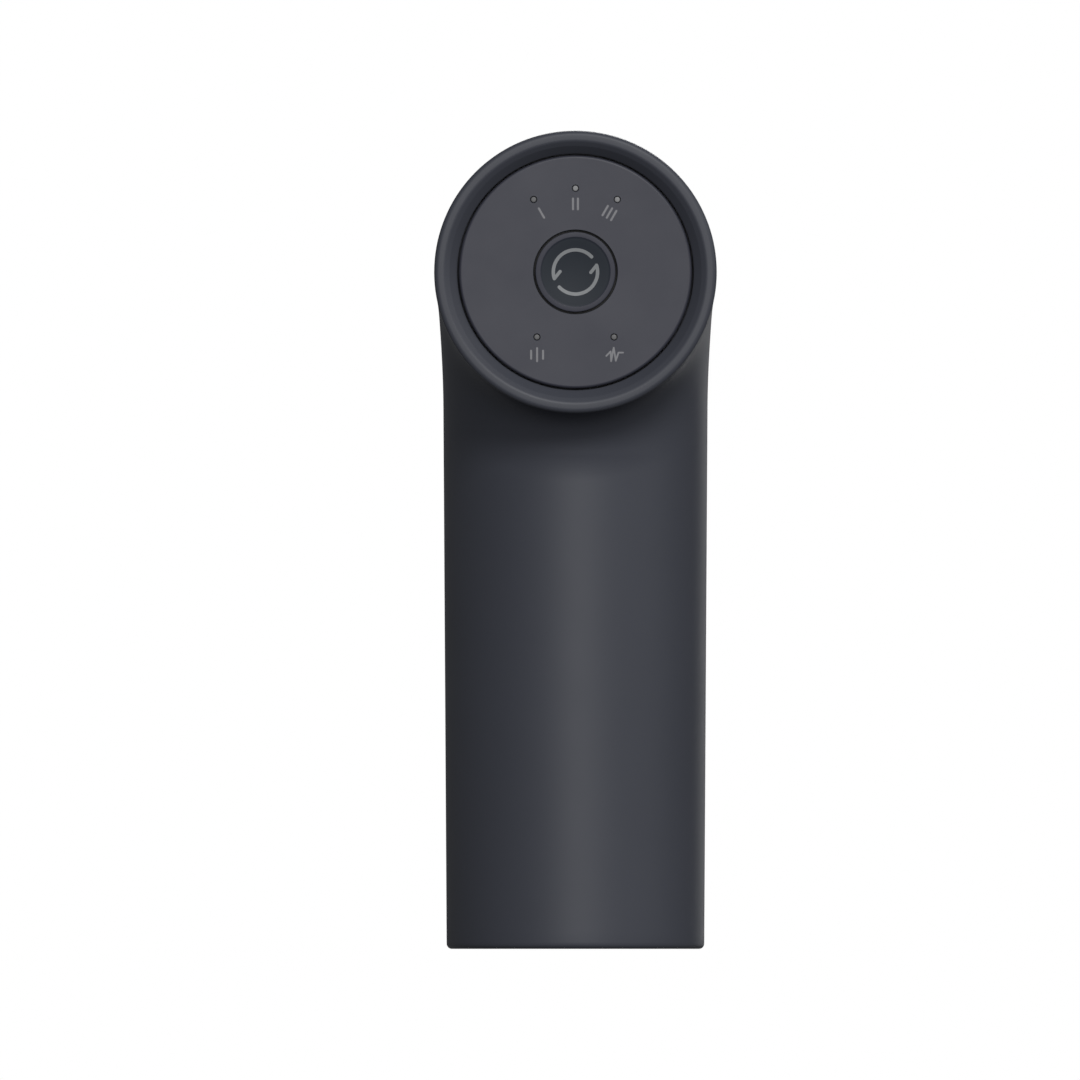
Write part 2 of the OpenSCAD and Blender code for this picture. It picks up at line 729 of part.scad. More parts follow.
module frame_cover() {
    color([0.24, 0.25, 0.26]) difference() {
        translate([-frame_x, frame_wall_y[0][0], frame_top_z])
            cube([2 * frame_x, frame_wall_y[1][1] - frame_wall_y[0][0], frame_cover_t]);
        at_frame_posts(frame_top_z - 1) cylinder(r = 1.1, h = 4);
        along_barrel(frame_wall_y[1][0] - 0.3) cylinder(r = tube_out_r + 0.2, h = 5);
        translate([0, 0, frame_top_z - 1]) block([14, 16, 4]);
    }
}

module frame_cover_screws() {
    color(dark_steel) at_frame_posts(frame_top_z + frame_cover_t) screw(1.8, 1.2, 1, 6);
}

module frame_screws() {
    color(dark_steel) for (a = [45:90:315]) along_barrel(flange_y[1]) rotate([0, 0, a])
        translate([flange_screw_r, 0, 0]) screw(1.6, 1.1, 0.8, 4.5);
}

module isolator_ring() {
    color([0.07, 0.07, 0.075]) difference() {
        along_barrel(front_ledge[1]) ring(barrel_bore_r - 0.2, front_ledge_r, isolator_t);
        for (a = [45:90:315]) along_barrel(front_ledge[1] - 1) rotate([0, 0, a])
            translate([flange_screw_r, 0, 0]) cylinder(r = 0.9, h = 4);
    }
}

module front_bushing() {
    color(brass) along_barrel(bushing_y[0]) ring(bushing_r, rod_r + running_gap, bushing_y[1] - bushing_y[0]);
}

module rear_bushing() {
    color(brass) along_barrel(rear_bushing_y[0])
        ring(rear_bushing_r, guide_r + running_gap, rear_bushing_y[1] - rear_bushing_y[0]);
}

// ---- Massage head ----

// The stem plugs into the piston rod, and the collar and core carry the soft ball.
module head_stem() {
    stem_r = socket_r - stem_gap;
    stem_l = rod_tip - socket_bottom - 1;
    color(near_black) difference() {
        union() {
            along_barrel(socket_bottom + 1) rotate_extrude() bar_outline(stem_r, stem_l + 1, 0.6, 0.1);
            along_barrel(rod_tip) rotate_extrude() bar_outline(collar[0], collar[1], 0.5, 0.3);
            along_barrel(ball_back - e) cylinder(r = neck_r, h = 6);
            along_barrel(ball_reach) sphere(r = core_r);
        }
        along_barrel(o_ring_y - o_ring_r) ring(stem_r + 1, stem_r - 2 * o_ring_r, 2 * o_ring_r);
    }
}

module head_ball() {
    color([0.13, 0.13, 0.14]) difference() {
        along_barrel(ball_reach) sphere(r = ball_r);
        along_barrel(ball_back - 20) cylinder(r = 30, h = 20.05);
        along_barrel(ball_back - 1) cylinder(r = neck_r + e, h = 8);
        along_barrel(ball_reach) sphere(r = core_r + e);
    }
}

module head_o_ring() {
    color([0.05, 0.05, 0.05]) along_barrel(o_ring_y) rotate_extrude()
        translate([socket_r - stem_gap - o_ring_r, 0]) circle(r = o_ring_r);
}

main_housing();
nose_cap();
nose_seal();
rear_cover();
light_pipes();
power_button();
switch_stem();
tact_switch();
control_board();
board_chips();
status_leds();
board_screws();
lead_connector();
base_cap();
base_screws();
usb_receptacle();
charge_board();
charge_chips();
cell_holder_lower();
battery_cells();
cell_links();
cell_holder_upper();
battery_leads();
motor_leads();
motor_flange();
motor_stator();
motor_windings();
motor_bearings();
motor_screws();
motor_bell();
motor_magnets();
motor_shaft();
crank_disc();
crank_pin();
pin_clip();
pin_bearing();
slider_block();
yoke();
piston_rod();
guide_rod();
drive_frame();
frame_cover();
frame_cover_screws();
frame_screws();
isolator_ring();
front_bushing();
rear_bushing();
head_stem();
head_ball();
head_o_ring();
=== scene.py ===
"""Looks of a compact massage gun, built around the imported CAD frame.

+Y is the front, +X is to the right seen from behind, and +Z is up. Shapes are worked out in millimetres
and made in metres.
"""

import json
import math

import bmesh
import bpy
import numpy as np
from mathutils import Matrix, Vector


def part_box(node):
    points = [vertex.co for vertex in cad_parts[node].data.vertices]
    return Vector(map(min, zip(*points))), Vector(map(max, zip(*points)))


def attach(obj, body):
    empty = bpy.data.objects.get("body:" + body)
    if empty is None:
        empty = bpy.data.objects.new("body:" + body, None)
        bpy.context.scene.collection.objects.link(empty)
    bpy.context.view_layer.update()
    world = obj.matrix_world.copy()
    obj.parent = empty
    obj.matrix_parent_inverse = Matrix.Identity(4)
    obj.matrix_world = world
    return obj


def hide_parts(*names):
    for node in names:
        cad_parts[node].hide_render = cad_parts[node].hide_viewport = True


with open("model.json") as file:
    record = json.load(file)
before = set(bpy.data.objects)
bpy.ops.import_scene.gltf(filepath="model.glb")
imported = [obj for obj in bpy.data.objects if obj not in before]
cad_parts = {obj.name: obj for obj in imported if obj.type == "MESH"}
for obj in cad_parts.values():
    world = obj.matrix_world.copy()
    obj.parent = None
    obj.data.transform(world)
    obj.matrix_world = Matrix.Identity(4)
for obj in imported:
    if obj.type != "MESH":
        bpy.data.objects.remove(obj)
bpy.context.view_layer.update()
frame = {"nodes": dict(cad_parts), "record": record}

MM = 0.001


def node_box(node):
    """Lowest and highest corner of a CAD node, in millimetres."""
    low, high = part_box(node)
    return np.array(low) / MM, np.array(high) / MM


# Sizes read from the CAD frame, in millimetres.
HOUSING_LOW, HOUSING_HIGH = node_box("main_housing")
BARREL_R = min(HOUSING_HIGH[0], -HOUSING_LOW[0])
AXIS_Z = HOUSING_HIGH[2] - HOUSING_HIGH[0]
REAR_Y, NOSE_Y = HOUSING_LOW[1], HOUSING_HIGH[1]
COVER_Y = node_box("rear_cover")[0][1]
COVER_R = node_box("rear_cover")[1][0]
LEDGE_Y = node_box("rear_cover")[1][1]
BORE_R = node_box("nose_cap")[1][0] + 0.1
CAP_LOW, CAP_HIGH = node_box("base_cap")
HANDLE_BORE_R = CAP_HIGH[0] + 0.1
SEAL_LOW, SEAL_HIGH = node_box("nose_seal")
ROD_LOW, ROD_HIGH = node_box("piston_rod")
ROD_R = ROD_HIGH[0]
STEM_LOW, STEM_HIGH = node_box("head_stem")
BALL_LOW, BALL_HIGH = node_box("head_ball")
BALL_R = BALL_HIGH[0]
BALL_Y = BALL_HIGH[1] - BALL_R
O_RING_LOW, O_RING_HIGH = node_box("head_o_ring")

# Sizes of the outer form that no box gives, in millimetres.
HANDLE_BASE_R = 20.95
HANDLE_DRAFT = math.tan(math.radians(0.35))
RIM_EDGE = 1.0
RIM_CREST_R = 21.35
NOSE_EDGE = 1.2
BASE_EDGE = 1.1
OPENING_R = 19.25
REAR_LEDGE_R = 17.0
REAR_LEDGE_T = 1.5
FRONT_LEDGE_R = 17.2
FRONT_LEDGE = (19.5, 22.0)
BUTTON_R = 6.5
BUTTON_GAP = 0.33
DISH_R = 5.6
DISH_DEPTH = 0.5
PIPE_R = 0.44
PIPE_FLANGE_R = 0.88
COVER_T = 1.6
SKIRT_T = 1.15
STEM_R = 4.95
NECK_R = 6.5
COLLAR_R = 8.5
CORE_R = 11.0
USB_Y = 9.0
BASE_SINK = 0.12
BASE_SCREW_R = 16.9
BASE_SCREW_ANGLES = (30, 150, 270)

# The blend between barrel and handle, and the rows and columns of the housing's mesh.
BLEND_TOP_Z = 107.3
BLEND_MAX = 11.0
BLEND_SLOPE = 0.41
INNER_BLEND_SLOPE = 0.02
SIDE_COLUMNS = 56
HALF_TURN = 72
COLUMNS = 2 * (SIDE_COLUMNS + HALF_TURN)

# Light, floor and camera, in metres.
AMBIENT = 0.21
AMBIENT_COLOR = (0.95, 0.97, 1.0)
FLOOR_SIZE = 16.0
FLOOR_DROP = 0.0003
FLOOR_LOW, FLOOR_HIGH = (0.83, 0.83, 0.83), (0.85, 0.85, 0.85)
FRAME_WIDTH = 0.17565
CAMERA_PLACE = (-0.005766, -1.2, 0.0665)
LIGHT_TARGET = Vector((0, 0, 0.075))
# Each sun: name, where it shines from, strength, width in degrees.
SUNS = (
    ("key", (0.28, -1.33, 0.9), 3.05, 15),
    ("front_fill", (0.3, 1.5, 1.22), 2.2, 30),
)
# Each softbox: name, place, width, height, power.
SOFTBOXES = (
    ("key_low", (0.03, -1.6, 0.36), 0.6, 0.6, 15.0),
    ("left_fill", (-0.7, -1.3, 0.95), 1.0, 1.0, 3.6),
    ("right_side", (1.3, -0.6, 0.7), 1.0, 1.2, 11.4),
    ("right_rim", (0.32, 0.62, 0.2), 0.12, 0.6, 0.4),
)


# ---- Meshes ----


def linked(name, data):
    """A new object of the scene."""
    obj = bpy.data.objects.new(name, data)
    bpy.context.scene.collection.objects.link(obj)
    return obj


def from_bmesh(name, bm):
    """A mesh object from a bmesh, with its faces turned outwards."""
    bmesh.ops.recalc_face_normals(bm, faces=bm.faces)
    mesh = bpy.data.meshes.new(name)
    bm.to_mesh(mesh)
    bm.free()
    return linked(name, mesh)


def mesh_object(name, verts_mm, faces):
    """A smooth-shaded mesh object from points in millimetres."""
    mesh = bpy.data.meshes.new(name)
    mesh.from_pydata([tuple(v) for v in np.asarray(verts_mm, float) * MM], [], faces)
    mesh.validate()
    obj = linked(name, mesh)
    bm = bmesh.new()
    bm.from_mesh(mesh)
    bmesh.ops.recalc_face_normals(bm, faces=bm.faces)
    bm.to_mesh(mesh)
    bm.free()
    for polygon in mesh.polygons:
        polygon.use_smooth = True
    return obj


def sharp_edges(obj, degrees=40):
    """Marks edges sharper than this as sharp, so that flat faces stay flat in shading."""
    bm = bmesh.new()
    bm.from_mesh(obj.data)
    for edge in bm.edges:
        if len(edge.link_faces) == 2 and edge.calc_face_angle(0) > math.radians(degrees):
            edge.smooth = False
    bm.to_mesh(obj.data)
    bm.free()


def rounded(corners, steps=6, closed=True):
    """An outline whose corners (x, y, fillet radius) are turned into arcs of that many steps."""
    points = []
    n = len(corners)
    for i, (x, y, radius) in enumerate(corners):
        here = np.array([x, y], float)
        if radius <= 0 or (not closed and i in (0, n - 1)):
            points.append(here)
            continue
        before = np.array(corners[i - 1][:2], float) - here
        after = np.array(corners[(i + 1) % n][:2], float) - here
        a, b = before / np.linalg.norm(before), after / np.linalg.norm(after)
        half = math.acos(np.clip(a @ b, -1, 1)) / 2
        reach = min(radius / math.tan(half), 0.49 * np.linalg.norm(before), 0.49 * np.linalg.norm(after))
        radius = reach * math.tan(half)
        middle = here + (a + b) / np.linalg.norm(a + b) * radius / math.sin(half)
        start, end = here + a * reach - middle, here + b * reach - middle
        sweep = math.acos(np.clip(start @ end / (radius * radius), -1, 1))
        for k in range(steps + 1):
            t = k / steps
            spoke = math.sin((1 - t) * sweep) * start + math.sin(t * sweep) * end
            points.append(middle + spoke / math.sin(sweep))
    return points


def lathe(name, outline, segments=128, upright=False):
    """Turns a closed outline of (radius, distance) about the barrel's axis, or the handle's if upright."""
    verts, faces = [], []
    count = len(outline)
    for k in range(segments):
        a = 2 * math.pi * k / segments
        for r, d in outline:
            if upright:
                verts.append((r * math.cos(a), r * math.sin(a), d))
            else:
                verts.append((r * math.cos(a), d, AXIS_Z + r * math.sin(a)))
    for k in range(segments):
        for i in range(count):
            j, m = (i + 1) % count, (k + 1) % segments
            faces.append((k * count + i, k * count + j, m * count + j, m * count + i))
    obj = mesh_object(name, verts, faces)
    bm = bmesh.new()
    bm.from_mesh(obj.data)
    bmesh.ops.remove_doubles(bm, verts=bm.verts, dist=1e-7)
    bmesh.ops.dissolve_degenerate(bm, edges=bm.edges, dist=1e-8)
    stray = [edge for edge in bm.edges if not edge.link_faces]
    bmesh.ops.delete(bm, geom=stray, context="EDGES")
    bmesh.ops.recalc_face_normals(bm, faces=bm.faces)
    bm.to_mesh(obj.data)
    bm.free()
    return obj


PIECES = []


def piece(obj, body, slot, *nodes):
    """Files a piece: the body it moves with, its material slot and the CAD nodes that it stands for."""
    if nodes:
        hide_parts(*nodes)
    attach(obj, body)
    PIECES.append((obj, slot))
    return obj


# ---- The housing: barrel and handle as one smooth shell ----


def handle_radius(z):
    """Outer radius of the handle at this height."""
    return HANDLE_BASE_R + z * HANDLE_DRAFT


def blend_width(y, z, side):
    """How far the blend between barrel and handle reaches. It grows downwards and is tighter in front."""
    front = np.clip(y / 14.0, 0, 1)
    front = front * front * (3 - 2 * front)
    return np.clip(side * (BLEND_TOP_Z - z), 0, BLEND_MAX) * (1 - 0.45 * front) + 1e-6


def tee_field(p, barrel_r, handle_r, side):
    """Signed distance, nearly, of points from the blended surface of a barrel on a handle."""
    x, y, z = p[..., 0], p[..., 1], p[..., 2]
    d1 = np.hypot(x, z - AXIS_Z) - barrel_r
    d2 = np.hypot(x, y) - handle_r(z)
    k = blend_width(y, z, side)
    h = np.clip(1 - np.abs(d1 - d2) / k, 0, 1)
    return np.minimum(d1, d2) - h * h * k / 4


def settle(p, barrel_r, handle_r, side, rounds=12):
    """Moves points onto the blended surface along its gradient."""
    step = 1e-4
    for _ in range(rounds):
        f = tee_field(p, barrel_r, handle_r, side)
        grad = np.stack(
            [
                (tee_field(p + step * axis, barrel_r, handle_r, side) - f) / step
                for axis in np.eye(3)
            ],
            axis=-1,
        )
        p = p - grad * (f / np.maximum((grad**2).sum(-1), 1e-6))[..., None]
    return p


def resample(column, fractions):
    """Points at these fractions of a polyline's length."""
    lengths = np.concatenate([[0], np.cumsum(np.linalg.norm(np.diff(column, axis=0), axis=1))])
    at = np.asarray(fractions) * lengths[-1]
    return np.stack([np.interp(at, lengths, column[:, i]) for i in range(3)], axis=1)


def tee_boundary(barrel_r, rear, front):
    """The edge of the barrel's lower half: a half turn at the front, a side, the rear, the other side."""
    half = [math.pi * k / HALF_TURN for k in range(HALF_TURN)]
    ys = [rear + (front - rear) * k / SIDE_COLUMNS for k in range(SIDE_COLUMNS)]
    front_arc = [(barrel_r * math.cos(a), front, AXIS_Z - barrel_r * math.sin(a)) for a in half]
    left_side = [(-barrel_r, front + rear - y, AXIS_Z) for y in ys]
    rear_arc = [(-barrel_r * math.cos(a), rear, AXIS_Z - barrel_r * math.sin(a)) for a in half]
    right_side = [(barrel_r, y, AXIS_Z) for y in ys]
    return np.array(front_arc + left_side + rear_arc + right_side)


def tee_grid(barrel_r, handle_r, rear, front, bottom, neck, side, rings_low, rings_high):
    """Rows of points from the handle's bottom to the barrel's edges, with one point per column."""
    edge = tee_boundary(barrel_r, rear, front)
    turn = np.arctan2(edge[:, 1], edge[:, 0])
    r_neck = handle_r(neck)
    start = np.stack([r_neck * np.cos(turn), r_neck * np.sin(turn), np.full(COLUMNS, neck)], axis=1)
    rows = []
    for z in np.linspace(bottom, neck, rings_low + 1)[:-1]:
        r = handle_r(z)
        rows.append(np.stack([r * np.cos(turn), r * np.sin(turn), np.full(COLUMNS, z)], axis=1))
    fine = np.linspace(0, 1, 160)[:, None]
    fractions = np.linspace(0, 1, rings_high + 1)
    columns = []
    for a, b in zip(start, edge):
        corner = np.array([a[0] * 1.004, a[1] * 1.004, b[2]])
        path = (1 - fine) ** 2 * a + 2 * fine * (1 - fine) * corner + fine**2 * b
        path = settle(path, barrel_r, handle_r, side, 6)
        path[0], path[-1] = a, b
        column = settle(resample(path, fractions), barrel_r, handle_r, side, 6)
        column[0], column[-1] = a, b
        columns.append(column)
    for k in range(rings_high + 1):
        rows.append(np.array([column[k] for column in columns]))
    return rows


def housing_mesh():
    """Outer skin, rims and inner bores as one closed shell of quads."""
    verts, faces = [], []

    def add_loop(points):
        first = len(verts)
        verts.extend(points)
        return list(range(first, first + len(points)))

    def join(a, b, closed=True):
        for i in range(len(a) if closed else len(a) - 1):
            j = (i + 1) % len(a)
            faces.append((a[i], a[j], b[j], b[i]))

    def skin(barrel_r, handle_r, rear, front, bottom, neck, side, low, high):
        """Adds one tee and returns its base, rear and front loops."""
        rows = tee_grid(barrel_r, handle_r, rear, front, bottom, neck, side, low, high)
        loops = [add_loop(row) for row in rows]
        for a, b in zip(loops, loops[1:]):
            join(a, b)
        edge = loops[-1]
        front_arc = edge[: HALF_TURN + 1]
        left = edge[HALF_TURN : HALF_TURN + SIDE_COLUMNS + 1]
        rear_arc = edge[HALF_TURN + SIDE_COLUMNS : 2 * HALF_TURN + SIDE_COLUMNS + 1]
        right = edge[2 * HALF_TURN + SIDE_COLUMNS :] + edge[:1]
        right = right[::-1]
        previous = right
        top_front, top_rear = [], []
        ys = [verts[i][1] for i in right]
        for k in range(1, HALF_TURN):
            a = math.pi * k / HALF_TURN
            row = add_loop([(barrel_r * math.cos(a), y, AXIS_Z + barrel_r * math.sin(a)) for y in ys])
            join(previous, row, closed=False)
            top_front.append(row[0])
            top_rear.append(row[-1])
            previous = row
        join(previous, left, closed=False)
        front_loop = front_arc + top_front[::-1]
        rear_loop = rear_arc[::-1] + top_rear[::-1]
        return loops[0], rear_loop, front_loop

    def turn_from(loop, outline):
        """Carries a barrel loop along an outline of (radius, y), keeping each point's angle."""
        angles = [math.atan2(verts[i][2] - AXIS_Z, verts[i][0]) for i in loop]
        for r, y in outline:
            ring = add_loop([(r * math.cos(a), y, AXIS_Z + r * math.sin(a)) for a in angles])
            join(loop, ring)
            loop = ring
        return loop

    def drop_from(loop, outline):
        """Carries a handle loop along an outline of (radius, z)."""
        angles = [math.atan2(verts[i][1], verts[i][0]) for i in loop]
        for r, z in outline:
            ring = add_loop([(r * math.cos(a), r * math.sin(a), z) for a in angles])
            join(loop, ring)
            loop = ring
        return loop

    inner_rear, inner_front = LEDGE_Y + REAR_LEDGE_T + 0.05, FRONT_LEDGE[0]
    outer = skin(
        barrel_r=BARREL_R,
        handle_r=handle_radius,
        rear=REAR_Y + RIM_EDGE,
        front=NOSE_Y - NOSE_EDGE,
        bottom=BASE_EDGE,
        neck=72.0,
        side=BLEND_SLOPE,
        low=40,
        high=64,
    )
    inner = skin(
        barrel_r=BORE_R,
        handle_r=lambda z: HANDLE_BORE_R,
        rear=inner_rear,
        front=inner_front,
        bottom=0.3,
        neck=84.0,
        side=INNER_BLEND_SLOPE,
        low=24,
        high=40,
    )
    rear = rounded(
        [
            (BARREL_R, REAR_Y + RIM_EDGE + 1, 0),
            (BARREL_R, REAR_Y, RIM_EDGE),
            (RIM_CREST_R, REAR_Y, 0.9),
            (20.5, REAR_Y + 0.62, 0.8),
            (OPENING_R, REAR_Y + 1.95, 0.15),
            (OPENING_R, LEDGE_Y + 0.05, 0),
            (REAR_LEDGE_R, LEDGE_Y + 0.05, 0.1),
            (REAR_LEDGE_R, inner_rear - 0.05, 0.1),
            (BORE_R, inner_rear - 0.05, 0),
        ],
        steps=7,
        closed=False,
    )[2:]
    nose = rounded(
        [
            (BARREL_R, NOSE_Y - NOSE_EDGE - 1, 0),
            (BARREL_R, NOSE_Y, NOSE_EDGE),
            (BORE_R, NOSE_Y, 0.25),
            (BORE_R, FRONT_LEDGE[1], 0),
            (FRONT_LEDGE_R, FRONT_LEDGE[1], 0.1),
            (FRONT_LEDGE_R, inner_front + 0.05, 0.1),
            (BORE_R, inner_front + 0.05, 0),
        ],
        steps=7,
        closed=False,
    )[2:]
    base = rounded(
        [
            (HANDLE_BASE_R, 2.5, 0),
            (HANDLE_BASE_R, 0, BASE_EDGE),
            (HANDLE_BORE_R, 0, 0.25),
            (HANDLE_BORE_R, 1, 0),
        ],
        steps=7,
        closed=False,
    )[2:-1]
    join(turn_from(outer[1], rear), inner[1])
    join(turn_from(outer[2], nose), inner[2])
    join(drop_from(outer[0], base), inner[0])
    shell = mesh_object("housing_shell", verts, faces)
    sharp_edges(shell, 50)
    return shell


shell = housing_mesh()
piece(shell, "housing", "housing", "main_housing")

# ---- Plates with holes ----


def circle(x, y, r, count):
    """An outline maker: given an inset into the material, the points of a circle about x, y."""

    def points(inset):
        turns = [2 * math.pi * k / count for k in range(count)]
        return [(x + (r - inset) * math.cos(a), y + (r - inset) * math.sin(a)) for a in turns]

    return points


def hole(x, y, r, count):
    """The outline maker of a round hole."""
    ring = circle(x, y, r, count)
    return lambda inset: ring(-inset)


def slot_hole(x, y, length, width, count):
    """A hole with round ends, long in x."""

    def points(inset):
        r, reach = width / 2 + inset, (length - width) / 2
        arc = [math.pi * (k / count - 0.5) for k in range(count + 1)]
        right = [(x + reach + r * math.cos(a), y + r * math.sin(a)) for a in arc]
        left = [(x - reach - r * math.cos(a), y - r * math.sin(a)) for a in arc]
        return right + left

    return points


def plate(name, outlines, profile, place):
    """A solid between two flat faces: every outline is carried along a profile of (inset, depth)."""
    bm = bmesh.new()
    caps = ([], [])
    for outline in outlines:
        previous = None
        for step, (inset, depth) in enumerate(profile):
            ring = [bm.verts.new(Vector(place(x, y, depth)) * MM) for x, y in outline(inset)]
            pairs = list(zip(ring, ring[1:] + ring[:1]))
            if previous:
                for (a, b), (c, d) in zip(previous, pairs):
                    bm.faces.new((a, b, d, c)).smooth = True
            if step in (0, len(profile) - 1):
                caps[bool(step)].extend(bm.edges.get(p) or bm.edges.new(p) for p in pairs)
            previous = pairs
    for cap in caps:
        bmesh.ops.triangle_fill(bm, use_beauty=True, use_dissolve=False, edges=cap)
    return from_bmesh(name, bm)


def edge_profile(thickness, fillet, steps=4):
    """A profile with a rounded front edge and a plain back edge."""
    arc = [math.pi / 2 * k / steps for k in range(steps + 1)]
    front = [(fillet * (1 - math.sin(a)), fillet * (1 - math.cos(a))) for a in arc]
    return front + [(0, thickness)]


def absorb(obj, *others):
    """Moves the meshes of the others into obj, as one piece."""
    bm = bmesh.new()
    for part in (obj,) + others:
        bm.from_mesh(part.data)
    bm.to_mesh(obj.data)
    bm.free()
    for part in others:
        bpy.data.objects.remove(part)
    return obj


# ---- Rear end: cover, button, light pipes ----

SPEED_ANGLES = (-30, 0, 30)
SPEED_LIGHT_R = 13.6
LOWER_LIGHTS = ((-6.27, -10.59), (6.27, -10.59))
LIGHT_PLACES = [
    (SPEED_LIGHT_R * math.sin(math.radians(a)), SPEED_LIGHT_R * math.cos(math.radians(a)))
    for a in SPEED_ANGLES
] + list(LOWER_LIGHTS)


def rear_place(x, y, depth):
    """A point of the rear end, from the cover's middle and its depth below the cover's face."""
    return (x, COVER_Y + depth, AXIS_Z + y)


def crisp(outline):
    """The same outline with an edge round that is five times narrower."""
    return lambda inset: outline(inset / 5)


cover = plate(
    "rear_cover_disc",
    [circle(0, 0, COVER_R, 200), crisp(hole(0, 0, BUTTON_R + BUTTON_GAP, 128))]
    + [crisp(hole(x, y, PIPE_R + 0.08, 32)) for x, y in LIGHT_PLACES],
    edge_profile(COVER_T, 0.42, 6),
    rear_place,
)
skirt = lathe(
    "cover_skirt",
    [
        (COVER_R, COVER_Y + COVER_T),
        (COVER_R, LEDGE_Y),
        (COVER_R - SKIRT_T, LEDGE_Y),
        (COVER_R - SKIRT_T, COVER_Y + COVER_T),
    ],
)
piece(absorb(cover, skirt), "housing", "cover", "rear_cover")
sharp_edges(cover, 40)

BUTTON_BACK = node_box("power_button")[1][1] - COVER_Y
DISH_SPHERE_R = (DISH_R**2 + DISH_DEPTH**2) / (2 * DISH_DEPTH)
DISH_STEP = 0.07


def dish_y(r):
    """Depth of the button's dish below its rim at this distance from its middle."""
    return DISH_DEPTH - DISH_SPHERE_R + math.sqrt(DISH_SPHERE_R**2 - r * r) + DISH_STEP * (r / DISH_R) ** 8


dish = [(r, COVER_Y + dish_y(r)) for r in np.linspace(0, DISH_R, 24)]
rim = rounded(
    [
        (DISH_R, COVER_Y + DISH_STEP, 0),
        (DISH_R + 0.12, COVER_Y, 0.1),
        (BUTTON_R, COVER_Y, 0.12),
        (BUTTON_R, COVER_Y + 1.75, 0),
        (BUTTON_R + 1.1, COVER_Y + 1.75, 0.1),
        (BUTTON_R + 1.1, COVER_Y + BUTTON_BACK, 0.1),
        (BUTTON_R - 1.2, COVER_Y + BUTTON_BACK, 0.1),
        (BUTTON_R - 1.2, COVER_Y + 1.3, 0.2),
        (1.6, COVER_Y + 1.3, 0.2),
        (1.6, COVER_Y + BUTTON_BACK - 0.2, 0),
        (0, COVER_Y + BUTTON_BACK - 0.2, 0),
    ],
    closed=False,
)
button = lathe("button_cap", dish + rim[1:], 160)
sharp_edges(button, 50)
piece(button, "button", "button", "power_button")

lens_outline = [
    (0, -0.006),
    (0.2, -0.004),
    (0.36, 0.004),
    (0.41, 0.02),
    (PIPE_R, 0.07),
    (PIPE_R, 1.65),
    (PIPE_FLANGE_R, 1.65),
    (PIPE_FLANGE_R, 2.25),
    (PIPE_R, 2.25),
    (PIPE_R, 3.35),
    (0, 3.35),
]
lenses = []
for x, y in LIGHT_PLACES:
    lens = lathe("light_lens", [(r, COVER_Y + 0.05 + d) for r, d in lens_outline], 32)
    lens.data.transform(Matrix.Translation(Vector((x, 0, y)) * MM))
    lenses.append(lens)
lens = absorb(*lenses)
lens.name = "light_lenses"
sharp_edges(lens, 50)
piece(lens, "housing", "light_pipe", "light_pipes")


# ---- Printed marks: thin raised films that follow the face below them ----

MARK_HEIGHT = 0.022
MARK_STEP = 0.0015


def stroke(path, width, caps=8):
    """The outline of a line with round ends along a smooth path."""
    path = [np.array(p, float) for p in path]
    left, right = [], []
    for i, p in enumerate(path):
        d = path[min(i + 1, len(path) - 1)] - path[max(i - 1, 0)]
        n = np.array([-d[1], d[0]]) / np.linalg.norm(d) * width / 2
        left.append(p + n)
        right.append(p - n)

    def cap(middle, start):
        first = math.atan2(*(start - middle)[::-1])
        turns = [first - math.pi * k / caps for k in range(1, caps)]
        return [middle + width / 2 * np.array([math.cos(a), math.sin(a)]) for a in turns]

    return left + cap(path[-1], left[-1]) + right[::-1] + cap(path[0], right[0])


def arc_path(r, start, end, steps=48):
    """Points along an arc about the middle, between two angles in degrees."""
    turns = [math.radians(start + (end - start) * k / steps) for k in range(steps + 1)]
    return [(r * math.cos(a), r * math.sin(a)) for a in turns]


def film(name, outlines, surface, body, slot):
    """Raised marks on a face: surface gives the face's depth below the cover's face at x, y.
    Neighbours differ by a step in height, so that crossing strokes share no face."""
    bm = bmesh.new()
    for index, outline in enumerate(outlines):
        height = MARK_HEIGHT + MARK_STEP * (index % 3)
        top, low = [
            [bm.verts.new(Vector(rear_place(x, y, surface(x, y) + lift)) * MM) for x, y in outline]
            for lift in (-height, 0.03)
        ]
        around = list(zip(top, top[1:] + top[:1], low[1:] + low[:1], low))
        for corners in around:
            bm.faces.new(corners)
        for edge_ends in ([c[:2] for c in around], [c[:1:-1] for c in around]):
            edges = [bm.edges.get(ends) for ends in edge_ends]
            bmesh.ops.triangle_fill(bm, use_beauty=True, use_dissolve=False, edges=edges)
    obj = from_bmesh(name, bm)
    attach(obj, body)
    PIECES.append((obj, slot))
    return obj


def bar(x, y, length, width, turn=0.0):
    """A short straight line about x, y that leans clockwise by turn degrees."""
    a = math.radians(turn)
    half = np.array([math.sin(a), math.cos(a)]) * (length - width) / 2
    return stroke([(x, y) - half, (x, y) + half], width)


def polyline(points, width):
    """One stroke for each stretch of a bent line."""
    return [stroke([a, b], width) for a, b in zip(points, points[1:])]


def flat(x, y):
    return 0.0


def in_dish(x, y):
    return dish_y(math.hypot(x, y))


ARROW_R = 3.6
ARROW_W = 0.56
half_arrow = arc_path(ARROW_R, 43, 197.6)
barb = [half_arrow[-1], (-2.5, 0.08)]
cycle = [stroke(half_arrow, ARROW_W), stroke(barb, ARROW_W * 0.95)]
cycle += [[(-x, -y) for x, y in outline] for outline in cycle]
film("button_mark", cycle, in_dish, "button", "button_ink")

